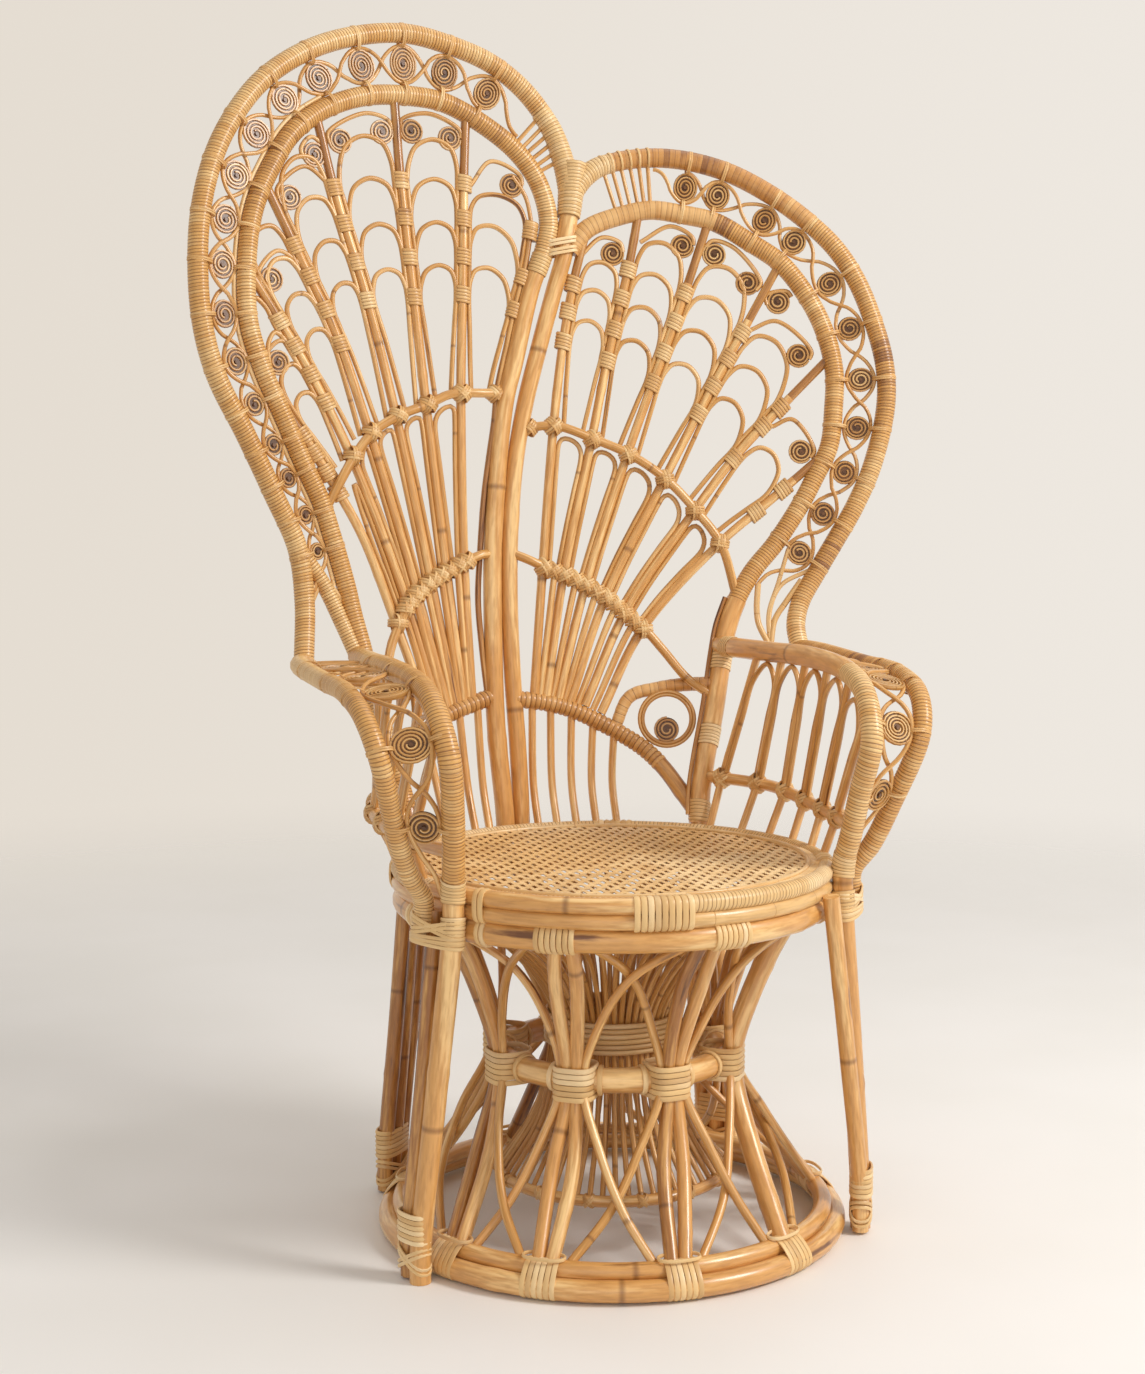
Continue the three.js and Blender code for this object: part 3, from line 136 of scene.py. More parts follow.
CURL_SHARES = {
    -1: [
        ([[-0.528, 0.88], [-0.452, 0.918], [-0.405, 0.896]], (True, True)),
        ([[-0.318, 0.9], [-0.263, 0.924], [-0.205, 0.894]], (True, True)),
        ([[-0.605, 0.86], [-0.611, 0.882], [-0.567, 0.868]], (True, False)),
        ([[-0.68, 0.804], [-0.633, 0.844], [-0.55, 0.818]], (True, False)),
        ([[-0.74, 0.7], [-0.718, 0.736], [-0.642, 0.717]], (True, False)),
        ([[-0.729, 0.597], [-0.721, 0.624], [-0.67, 0.611]], (True, False)),
        ([[-0.147, 0.834], [-0.085, 0.867], [-0.027, 0.837]], (False, True)),
        ([[-0.023, 0.849], [0.015, 0.822], [0.032, 0.781]], (False, False)),
    ],
    1: [
        ([[0.164, 0.743], [0.235, 0.772], [0.264, 0.751]], (False, True)),
        ([[0.347, 0.767], [0.436, 0.789], [0.467, 0.763]], (False, True)),
        ([[0.558, 0.752], [0.615, 0.761], [0.649, 0.714]], (True, True)),
        ([[0.649, 0.65], [0.727, 0.663], [0.784, 0.617]], (False, True)),
        ([[0.732, 0.689], [0.758, 0.703], [0.772, 0.694]], (True, False)),
        ([[0.705, 0.521], [0.762, 0.531], [0.782, 0.488]], (False, True)),
    ],
}

SIDE_REED_SHARES = [
    [0.029, 0.79], [0.021, 0.766], [0.003, 0.725], [-0.027, 0.68], [-0.057, 0.624], [-0.088, 0.569],
    [-0.1, 0.527], [-0.119, 0.479], [-0.137, 0.429], [-0.155, 0.353], [-0.165, 0.293], [-0.158, 0.228],
    [-0.146, 0.163],
]  # the thin reed beside the left lobe's post

# The bands that cross the spokes, and the reeds from the lower bands to the seat

LEFT_BAND_SHARES = {
    "upper": [[-0.068, 0.563], [-0.145, 0.562], [-0.236, 0.56], [-0.3, 0.547], [-0.389, 0.532],
              [-0.469, 0.51], [-0.525, 0.48], [-0.576, 0.443], [-0.61, 0.41]],
    "middle": [[-0.122, 0.353], [-0.158, 0.352], [-0.204, 0.343], [-0.255, 0.332], [-0.306, 0.318],
               [-0.348, 0.304], [-0.383, 0.287], [-0.434, 0.245], [-0.46, 0.21], [-0.49, 0.17]],
    "lower": [[-0.124, 0.168], [-0.161, 0.163], [-0.221, 0.155], [-0.29, 0.143], [-0.37, 0.115],
              [-0.45, 0.09]],
}
RIGHT_BAND_SHARES = {
    "upper": [[-0.025, 0.517], [0.075, 0.52], [0.186, 0.503], [0.289, 0.483], [0.394, 0.45],
              [0.478, 0.408], [0.546, 0.364], [0.59, 0.29]],
    "middle": [[-0.068, 0.355], [-0.027, 0.346], [0.03, 0.334], [0.09, 0.324], [0.148, 0.311],
               [0.207, 0.294], [0.265, 0.271], [0.316, 0.251], [0.37, 0.221], [0.43, 0.185], [0.5, 0.16]],
    "lower": [[-0.068, 0.162], [-0.01, 0.159], [0.06, 0.152], [0.12, 0.142], [0.18, 0.128],
              [0.24, 0.112], [0.3, 0.092], [0.345, 0.068], [0.38, 0.04], [0.413, 0.01]],
}
LEFT_FOOT_REED_SHARES = [[-0.18, -0.17], [-0.235, -0.215], [-0.29, -0.26], [-0.345, -0.305]]
RIGHT_FOOT_REED_SHARES = [[-0.015, -0.02], [0.04, 0.035], [0.1, 0.09], [0.16, 0.145], [0.22, 0.2]]
FOOT_REED_BEND_SHARES = [0.7, 0.05]
SCROLL_ARM_SHARES = [[0.22, 0.118], [0.268, 0.161], [0.347, 0.172], [0.425, 0.177], [0.51, 0.178]]
SCROLL_RING_SHARES = [0.366, 0.132]

# Arms: shares of the seat radius across and along, and of the arm's rise over the seat

ARM_START_SHARES = [0.53, 0.228]
ARM_INNER_SHARES = [
    [0.985, 0.45, 0.99], [1.0, 0.08, 1.0], [0.99, -0.36, 0.965], [0.98, -0.55, 0.88],
    [0.955, -0.68, 0.66], [0.925, -0.63, 0.38], [0.91, -0.58, 0.17],
]
ARM_OUTER_SHARES = [
    [1.3, 0.6, 0.975], [1.3, 0.1, 0.95], [1.29, -0.3, 0.93], [1.27, -0.52, 0.84], [1.23, -0.61, 0.66],
    [1.14, -0.52, 0.3], [1.07, -0.46, 0.08], [1.0, -0.42, -0.05],
]
CROSSBAR_START_SHARES = [0.435, 0.06]
CROSSBAR_SHARES = [[0.99, 0.5, 0.24], [1.03, 0.15, 0.21], [1.0, -0.25, 0.19], [0.915, -0.6, 0.2]]
SPINDLE_TOP_SHARES = [0.1, 0.4]
SPINDLE_FOOT_SHARES = [0.08, 0.76]
ARM_ROSETTE_SHARES = {-1: [0.2, 0.37, 0.515, 0.65, 0.79], 1: [0.395, 0.46, 0.535, 0.65, 0.77]}
LEAF_SHARES = [0.09, 0.15, 0.25, 0.31]
BORDER_ROSETTE_SHARES = {
    -1: [0.1, 0.135, 0.17, 0.205, 0.245, 0.29, 0.34, 0.39, 0.435, 0.485, 0.535, 0.59, 0.64, 0.695, 0.745,
         0.795, 0.85],
    1: [0.18, 0.23, 0.31, 0.365, 0.45, 0.525, 0.605, 0.675, 0.75, 0.815, 0.88],
}
SHORT_REED_SHARES = {-1: (0.91, 0.958), 1: (0.058, 0.122)}
ARM_FORK_SHARES = [0.668, 0.226]
FORK_SHARES = {
    -1: [
        [[-0.62, 0.328], [-0.65, 0.315], [-0.675, 0.303]],
        [[-0.62, 0.328], [-0.66, 0.29], [-0.687, 0.249]],
        [[-0.62, 0.328], [-0.57, 0.3], [-0.535, 0.273]],
    ],
    1: [
        [[0.739, 0.356], [0.709, 0.312], [0.675, 0.27], ARM_FORK_SHARES],
        [[0.799, 0.329], [0.716, 0.308], [0.68, 0.275], ARM_FORK_SHARES],
        [[0.773, 0.315], [0.725, 0.285], [0.69, 0.262], ARM_FORK_SHARES],
        [[0.652, 0.31], [0.643, 0.275], [0.645, 0.255], ARM_FORK_SHARES],
    ],
}  # reeds from the narrow end of a border down to the arm

# Bends of the base's poles and reeds, as shares of the way from the waist: out, round, up or down

SHOULDER_SHARES = [0.5, 0.5, 0.66]
SHIN_SHARES = [0.34, 0.5, 0.5]
CROSS_RISE_SHARES = [[0.42, 0.5, 0.69], [0.1, 0.17, 0.34]]
CROSS_FALL_SHARES = [[0.25, 0.33, 0.36], [0.6, 0.66, 0.7]]
CONE_SHOULDER_SHARES = [0.34, 1, 0.66]
CONE_SHIN_SHARES = [0.3, 1, 0.6]

# Turns from the front, in degrees

WAIST_START_TURN = -37.6  # of the first strut at the waist
APRON_LEAD_TURN = 3.5  # how much further round the struts are at the apron
STRUT_GROUND_TURNS = [-37, -3, 30, 85, 140, 190, 242, 296]
STRUT_COUNT = len(STRUT_GROUND_TURNS)
FRONT_LEG_TURNS = [59.5, 65.5]
BACK_LEG_TURNS = [135.5, 132]
FRONT_POLE_SHARES = {-1: [[-1.4, -1]], 1: [[-3, -1]]}
BACK_POLE_SHARES = [[-1, -1], [1, 1]]


@dataclass(frozen=True)
class ChairSizes:
    """The chair's driving sizes in millimetres, the same as those of its solids."""

    seat_height: float = 440.0
    seat_radius: float = 260.0
    back_half_width: float = 460.0
    back_rise: float = 980.0
    back_lean: float = 98.0
    back_dish_radius: float = 1110.0
    seat_dish_radius: float = 227.0
    dish_rise: float = 320.0
    arm_rise: float = 228.0
    fit_gap: float = 0.3
    pass_gap: float = 0.9
    back_hoop: float = 11.5
    centre_post: float = 9.0
    arm_rail: float = 11.0
    leg_pole: float = 9.0
    spoke: float = 5.0
    band: float = 4.5
    fine_reed: float = 2.1
    seat_hoop: float = 9.5
    apron_hoop: float = 12.5
    apron_inset: float = 3.0
    waist_radius: float = 129.0
    waist_height: float = 207.0
    waist_hoop: float = 14.5
    strut: float = 7.2
    cross_reed: float = 4.6
    ground_radius: float = 280.0
    ground_hoop: float = 14.0
    ground_inner_hoop: float = 11.0
    floor_leg_radius: float = 296.0
    leg_lashing_level: float = 62.0
    facet: float = math.cos(math.pi / 6)

    @property
    def seat_line(self) -> float:
        """Radius of the seat hoops' centre line."""
        return self.seat_radius - self.seat_hoop

    @property
    def upper_hoop_level(self) -> float:
        """Height of the upper seat hoop's middle."""
        return self.seat_height - self.seat_hoop * self.facet

    @property
    def lower_hoop_level(self) -> float:
        """Height of the lower seat hoop's middle."""
        return self.upper_hoop_level - 2 * self.seat_hoop * self.facet - self.fit_gap

    @property
    def seat_underside(self) -> float:
        """Height of the lower seat hoop's underside."""
        return self.lower_hoop_level - self.seat_hoop * self.facet

    @property
    def apron_level(self) -> float:
        """Height of the apron hoop's middle."""
        return self.seat_underside - self.fit_gap - self.apron_hoop * self.facet

    @property
    def apron_line(self) -> float:
        """Radius of the apron hoop's centre line."""
        return self.seat_radius - self.apron_inset - self.apron_hoop

    @property
    def leg_ring(self) -> float:
        """Radius on which the legs pass the seat."""
        return self.seat_radius + self.arm_rail + self.fit_gap


CHAIR = ChairSizes()


def mix(start: float, end: float, share: float) -> float:
    """The value that lies a share of the way from start to end."""
    return start + (end - start) * share


def row_shifts(rows: int, apart: float) -> list[float]:
    """How far each of some rows lies from their middle."""
    return [(row - (rows - 1) / 2) * apart for row in range(rows)]


def unit(vector: Array) -> Array:
    """The vector at length one."""
    return vector / np.linalg.norm(vector)


def dish_at(height: float) -> float:
    """How fast the back curves in plan at a height over the seat."""
    high = 1 / (2 * CHAIR.back_dish_radius)
    low = 1 / (2 * CHAIR.seat_dish_radius)
    fade = 1 - min(max(height / CHAIR.dish_rise, 0), 1)
    return high + (low - high) * fade**2


def back_normal(share: Numbers) -> Array:
    """The back's direction away from the sitter at a place given in shares."""
    x = share[0] * CHAIR.back_half_width
    dish = dish_at(share[1] * CHAIR.back_rise)
    return unit(np.array([2 * dish * x, 1, -CHAIR.back_lean / CHAIR.back_rise]))


def back_point(share: Numbers, lift: float = 0) -> Array:
    """A place on the back, lifted towards the sitter."""
    x = share[0] * CHAIR.back_half_width
    height = share[1] * CHAIR.back_rise
    depth = CHAIR.seat_radius + CHAIR.back_hoop + CHAIR.fit_gap
    lean = CHAIR.back_lean / CHAIR.back_rise * max(0, height)
    y = depth + lean - dish_at(height) * x * x
    return np.array([x, y, CHAIR.seat_height + height]) - lift * back_normal(share)


def back_points(shares: Table) -> list[Array]:
    """Places on the back."""
    return [back_point(share) for share in shares]


def polar(radius: float, degrees: float, level: float) -> Array:
    """A place by its radius from the seat's middle, its turn from the front and its height."""
    turn = math.radians(degrees)
    return np.array([radius * math.sin(turn), -radius * math.cos(turn), level])


def outward_at(degrees: float) -> Array:
    """The level direction away from the seat's middle at a turn from the front."""
    return polar(1, degrees, 0)


def between(start: Numbers, end: Numbers, shares: Numbers) -> Array:
    """A place part of the way between two places that are given as radius, turn and level."""
    return polar(*(mix(a, b, share) for a, b, share in zip(start, end, shares)))


def arm_point(shares: Numbers, side: int) -> Array:
    """A place on an arm."""
    across, along, rise = shares
    reach = CHAIR.seat_radius
    return np.array([side * across * reach, along * reach, CHAIR.seat_height + rise * CHAIR.arm_rise])


def smooth_track(knots: Array, step: float) -> Array:
    """Samples a centripetal curve through knots.

    Args:
        knots: the places that the curve passes.
        step: the longest distance between two samples.

    Returns:
        The samples, the first and last knot among them.
    """
    full = np.vstack([2 * knots[0] - knots[1], knots, 2 * knots[-1] - knots[-2]])
    parts = []
    for a, b, c, d in zip(full, full[1:], full[2:], full[3:]):
        before, span, after = (math.sqrt(np.linalg.norm(q - p)) for p, q in ((a, b), (b, c), (c, d)))
        leave = ((b - a) / before - (c - a) / (before + span) + (c - b) / span) * span
        arrive = ((c - b) / span - (d - b) / (span + after) + (d - c) / after) * span
        count = max(2, math.ceil(np.linalg.norm(c - b) / step))
        t = np.linspace(0, 1, count, endpoint=False)[:, None]
        parts.append(
            (2 * t**3 - 3 * t**2 + 1) * b + (t**3 - 2 * t**2 + t) * leave
            + (3 * t**2 - 2 * t**3) * c + (t**3 - t**2) * arrive
        )
    return np.vstack([*parts, knots[-1:]])


class Line:
    """A centre line that is measured along its length in millimetres."""

    sample_step = 2.0

    def __init__(self, points: Sequence[Array], smooth: bool = True) -> None:
        """Lays the line through points, on a curve or straight from one to the next."""
        knots = np.array(points, float)
        self.track = smooth_track(knots, self.sample_step) if smooth else knots
        steps = np.linalg.norm(np.diff(self.track, axis=0), axis=1)
        self.marks = np.concatenate([[0], np.cumsum(steps)])
        self.length = float(self.marks[-1])

    def at(self, distance: float | Array) -> Array:
        """The place or places at a distance along the line."""
        return np.stack([np.interp(distance, self.marks, axis) for axis in self.track.T], axis=-1)

    def share(self, share: float) -> Array:
        """The place at a share of the length."""
        return self.at(share * self.length)

    def way(self, distance: float) -> Array:
        """The direction of the line at a distance along it."""
        reach = self.sample_step
        return unit(self.at(min(distance + reach, self.length)) - self.at(max(distance - reach, 0)))

    def nearest(self, place: Array) -> float:
        """The distance along the line at which it comes nearest to a place."""
        return float(self.marks[np.argmin(np.linalg.norm(self.track - place, axis=1))])

    def part(self, start: float, end: float, step: float) -> Array:
        """Evenly spaced places from one distance to another."""
        count = max(2, math.ceil(abs(end - start) / step) + 1)
        return self.at(np.linspace(start, end, count))


def arc_line(radius: float, level: float, start: float, end: float) -> Line:
    """A level arc round the seat's middle, between two turns from the front."""
    count = max(8, math.ceil(abs(end - start) / ARC_STEP))
    return Line([polar(radius, turn, level) for turn in np.linspace(start, end, count)], smooth=False)


class Look(Enum):
    """The finishes of the chair's canes and poles."""

    FINE_WRAP = "fine_wrap"
    WIDE_WRAP = "wide_wrap"
    BROWN_WRAP = "brown_wrap"
    ROWS = "pale_rows"
    POLE = "golden_pole"
    DARK_POLE = "brown_pole"
    REED = "fine_reed"
    COIL = "rosette_cane"
    TAN_ROWS = "tan_rows"
    # painted shade for the gaps between a rosette's turns and for its eye
    ROSETTE_SHADE = "painted_rosette_shade"
    SEAT = "seat_cane"


def tint(code: str) -> tuple[float, float, float, float]:
    """The linear colour of a written colour such as c98f4e."""
    values = [int(code[i : i + 2], 16) / 255 for i in (0, 2, 4)]
    linear = [v / 12.92 if v <= 0.04045 else ((v + 0.055) / 1.055) ** 2.4 for v in values]
    return (*linear, 1.0)


class Graph:
    """Adds nodes to a node tree and joins them."""

    def __init__(self, tree: bpy.types.NodeTree) -> None:
        """Works on one tree."""
        self.tree = tree

    def node(self, kind: str, inputs: Optional[dict] = None, **settings: object) -> bpy.types.Node:
        """Adds a node.

        Args:
            kind: the node's type name, without the word ShaderNode.
            inputs: values or sockets for its inputs, by name or place.
            settings: the node's own settings.

        Returns:
            The new node.
        """
        made = self.tree.nodes.new("ShaderNode" + kind)
        for name, value in settings.items():
            setattr(made, name, value)
        for name, value in (inputs or {}).items():
            self.feed(made.inputs[name], value)
        return made

    def feed(self, socket: bpy.types.NodeSocket, value: object) -> None:
        """Gives an input a value or joins it to an output."""
        if isinstance(value, bpy.types.NodeSocket):
            self.tree.links.new(value, socket)
        else:
            socket.default_value = value

    def sum(self, operation: str, *values: object) -> Socket:
        """One Math node on values or sockets."""
        return self.node("Math", dict(enumerate(values)), operation=operation).outputs[0]

    def ease(self, value: object, low: float, high: float) -> Socket:
        """A smooth step from 0 at low to 1 at high."""
        made = self.node("MapRange", {"Value": value, "From Min": low, "From Max": high},
                         interpolation_type="SMOOTHSTEP")
        return made.outputs["Result"]

    def blend(self, share: object, first: object, second: object,
              way: str = "MIX") -> Socket:
        """A mix of two colours."""
        made = self.node("Mix", data_type="RGBA", blend_type=way)
        for place, value in ((0, share), (6, first), (7, second)):
            self.feed(made.inputs[place], value)
        return made.outputs[2]

    def noise(self, place: object, scale: float, detail: float = 2.0, w: object = 0.0) -> Socket:
        """The value of a noise with a fourth coordinate."""
        made = self.node("TexNoise", {"Vector": place, "W": w, "Scale": scale, "Detail": detail},
                         noise_dimensions="4D")
        return made.outputs["Fac"]


def new_group(name: str, inputs: dict[str, str],
              outputs: dict[str, str]) -> tuple[Graph, dict, bpy.types.Node]:
    """Starts a shader node group.

    Args:
        name: the group's name.
        inputs: its input names and socket kinds.
        outputs: its output names and socket kinds.

    Returns:
        The graph to build in, the input sockets by name, and the group's output node.
    """
    tree = bpy.data.node_groups.new(name, "ShaderNodeTree")
    for way, table in (("INPUT", inputs), ("OUTPUT", outputs)):
        for label, kind in table.items():
            tree.interface.new_socket(label, in_out=way, socket_type="NodeSocket" + kind)
    start = tree.nodes.new("NodeGroupInput")
    return Graph(tree), {s.name: s for s in start.outputs if s.name}, tree.nodes.new("NodeGroupOutput")


WHITE = (1, 1, 1, 1)
CANE_FIBRE = (0.66, 0.54, 0.42, 1)
# painted shade for the grooves between turns of wound cane
CANE_GROOVE_SHADE = (0.34, 0.22, 0.12, 1)
POLE_FIBRE = (0.72, 0.66, 0.6, 1)
DARK_FADE = 0.3  # how far under the dark share the darkest tone lies
NODE_RING_SHARE = 0.012  # of the gap between two nodes
TONE_INPUTS = {"Along": "Vector", "Tone": "Float", "Light": "Color", "Mid": "Color", "Dark": "Color",
               "Dark Share": "Float", "Mark": "Float"}
TONE_OUTPUTS = {"Color": "Color", "Roughness": "Float", "Height": "Float"}


def three_tones(graph: Graph, value: object, ins: dict) -> Socket:
    """Dark, mid and light colours in turn as a value rises from the dark share to 1."""
    low = graph.sum("SUBTRACT", ins["Dark Share"], DARK_FADE)
    made = graph.node("MapRange", {"Value": value, "From Min": low, "From Max": ins["Dark Share"]},
                      interpolation_type="SMOOTHSTEP")
    body = graph.blend(graph.ease(value, 0.4, 0.85), ins["Mid"], ins["Light"])
    return graph.blend(made.outputs["Result"], ins["Dark"], body)


def round_the_strand(graph: Graph, along: object, stretch: float) -> Socket:
    """A place that closes on itself round a strand: a circle, with the length stretched."""
    apart = graph.node("SeparateXYZ", {0: along})
    turn = graph.sum("MULTIPLY", apart.outputs[0], math.tau)
    length = graph.sum("MULTIPLY", apart.outputs[1], stretch)
    return graph.node("CombineXYZ", {0: graph.sum("COSINE", turn), 1: graph.sum("SINE", turn),
                                     2: length}).outputs[0]


def wrap_group() -> bpy.types.NodeTree:
    """Cane wound in turns: a tone for each turn, blotches, painted shade in the grooves between turns,
    and fibres along the cane.
    """
    graph, ins, out = new_group("wound_cane", TONE_INPUTS, TONE_OUTPUTS)
    apart = graph.node("SeparateXYZ", {0: ins["Along"]})
    turn = graph.sum("FLOOR", apart.outputs[1])
    shift = graph.sum("MULTIPLY", ins["Tone"], 997.0)
    own_turn = graph.node("CombineXYZ", {0: turn, 1: shift}).outputs[0]
    pick = graph.node("TexWhiteNoise", {"Vector": own_turn}, noise_dimensions="2D").outputs["Value"]
    spot = graph.node("TexCoord").outputs["Object"]
    blotch = graph.noise(spot, 7.0, 4.0, ins["Tone"])
    value = graph.sum("MULTIPLY_ADD", pick, 0.3, graph.sum("MULTIPLY_ADD", blotch, 2.4, -0.85))
    color = three_tones(graph, value, ins)
    # painted shade: the colour darkens near each joint between turns, over the share of a turn given by
    # Mark
    inside = graph.sum("PINGPONG", apart.outputs[1], 0.5)
    joint = graph.ease(inside, 0.0, ins["Mark"])
    fibre = graph.noise(graph.node("VectorMath", {0: ins["Along"], 1: (0.0, 2.7, 0.0)},
                                   operation="MULTIPLY").outputs[0], 1.0, 3.0, shift)
    streak = graph.blend(graph.ease(fibre, 0.3, 0.6), CANE_FIBRE, WHITE)
    color = graph.blend(0.7, color, streak, "MULTIPLY")
    # multiplies the painted groove shade into the colour
    shade = graph.blend(joint, CANE_GROOVE_SHADE, WHITE)
    color = graph.blend(0.85, color, shade, "MULTIPLY")
    graph.feed(out.inputs["Color"], color)
    graph.feed(out.inputs["Roughness"], graph.sum("MULTIPLY_ADD", fibre, 0.25, 0.36))
    graph.feed(out.inputs["Height"], graph.sum("MULTIPLY_ADD", fibre, 0.25, joint))
    return graph.tree


def pole_group() -> bpy.types.NodeTree:
    """Bare rattan: long light and dark stretches, fibres along the pole and a dark ring at each node."""
    graph, ins, out = new_group("bare_rattan", TONE_INPUTS, TONE_OUTPUTS)
    apart = graph.node("SeparateXYZ", {0: ins["Along"]})
    shift = graph.sum("MULTIPLY", ins["Tone"], 61.0)
    stretch = graph.noise(round_the_strand(graph, ins["Along"], 7.0), 0.75, 3.0, shift)
    fibre = graph.noise(round_the_strand(graph, ins["Along"], 12.0), 3.2, 4.0, shift)
    value = graph.sum("MULTIPLY_ADD", stretch, 2.3, graph.sum("MULTIPLY_ADD", fibre, 0.5, -0.92))
    color = three_tones(graph, value, ins)
    count = graph.sum("DIVIDE", apart.outputs[1], ins["Mark"])
    near = graph.sum("PINGPONG", graph.sum("ADD", count, ins["Tone"]), 0.5)
    node_ring = graph.ease(near, 0.0, NODE_RING_SHARE)
    color = graph.blend(graph.sum("MULTIPLY_ADD", node_ring, -0.6, 0.6), color, ins["Dark"])
    streak = graph.blend(graph.ease(fibre, 0.35, 0.6), POLE_FIBRE, WHITE)
    color = graph.blend(0.55, color, streak, "MULTIPLY")
    graph.feed(out.inputs["Color"], color)
    graph.feed(out.inputs["Roughness"], graph.sum("MULTIPLY_ADD", fibre, 0.22, 0.22))
    graph.feed(out.inputs["Height"], graph.sum("MULTIPLY_ADD", fibre, 0.3, node_ring))
    return graph.tree


@dataclass(frozen=True)
class CaneFinish:
    """A finish: its nodes, three tones and gloss, and as mark the share of each turn with painted shade
    at its joints, or its nodes' gap.
    """

    look: Look
    group: str
    light: str
    mid: str
    dark: str
    dark_share: float
    coat: float
    bump: float
    mark: float

    def build(self) -> bpy.types.Material:
        """Makes the material from the shared group."""
        material = bpy.data.materials.new(self.look.value)
        material.use_nodes = True
        graph = Graph(material.node_tree)
        shader = material.node_tree.nodes["Principled BSDF"]
        made = graph.node("Group", node_tree=bpy.data.node_groups[self.group])
        graph.feed(made.inputs["Along"], graph.node("UVMap", uv_map="UVMap").outputs[0])
        graph.feed(made.inputs["Tone"], graph.node("Attribute", attribute_name="tone").outputs["Fac"])
        for name, code in (("Light", self.light), ("Mid", self.mid), ("Dark", self.dark)):
            made.inputs[name].default_value = tint(code)
        made.inputs["Dark Share"].default_value = self.dark_share
        made.inputs["Mark"].default_value = self.mark
        bump = graph.node("Bump", {"Height": made.outputs["Height"], "Strength": self.bump,
                                   "Distance": MM})
        graph.feed(shader.inputs["Base Color"], made.outputs["Color"])
        graph.feed(shader.inputs["Roughness"], made.outputs["Roughness"])
        graph.feed(shader.inputs["Normal"], bump.outputs[0])
        shader.inputs["Coat Weight"].default_value = self.coat
        shader.inputs["Coat Roughness"].default_value = 0.22
        return material


FINISHES = [
    CaneFinish(Look.FINE_WRAP, "wound_cane", "f4ce90", "dca65c", "a06c3a", 0.3, 0.4, 0.5, 0.22),
    CaneFinish(Look.WIDE_WRAP, "wound_cane", "e6b878", "cb914c", "94602f", 0.28, 0.4, 0.4, 0.07),
    CaneFinish(Look.BROWN_WRAP, "wound_cane", "eabc7c", "cd9652", "8a5a2e", 0.24, 0.3, 0.5, 0.16),
    CaneFinish(Look.ROWS, "wound_cane", "f6daaa", "e8c286", "c08e52", 0.08, 0.15, 0.35, 0.18),
    CaneFinish(Look.TAN_ROWS, "wound_cane", "eecb92", "dbab6a", "a8743c", 0.14, 0.2, 0.35, 0.2),
    CaneFinish(Look.POLE, "bare_rattan", "f5cc8c", "dba25c", "764418", 0.2, 0.5, 0.25, 0.47),
    CaneFinish(Look.DARK_POLE, "bare_rattan", "d8a45f", "ab7236", "5c3212", 0.34, 0.5, 0.25, 0.38),
    CaneFinish(Look.REED, "bare_rattan", "ecc082", "cf9852", "7e4c22", 0.24, 0.25, 0.25, 0.29),
    CaneFinish(Look.COIL, "bare_rattan", "e6bf84", "c69352", "78481f", 0.26, 0.2, 0.4, 0.08),
    # painted shade: dark brown tones without gloss, for the discs behind the rosettes and the plugs in
    # their eyes
    CaneFinish(Look.ROSETTE_SHADE, "bare_rattan", "7c522c", "5e3a1c", "3a2210", 0.3, 0.0, 0.2, 0.38),
    CaneFinish(Look.SEAT, "bare_rattan", "f6d6a2", "e3b97c", "b9854a", 0.14, 0.1, 0.4, 0.08),
]


MATERIALS: dict[Look, bpy.types.Material] = {}


def build_finishes() -> None:
    """Builds the node groups and one material for each finish."""
    wrap_group()
    pole_group()
    MATERIALS.update({finish.look: finish.build() for finish in FINISHES})


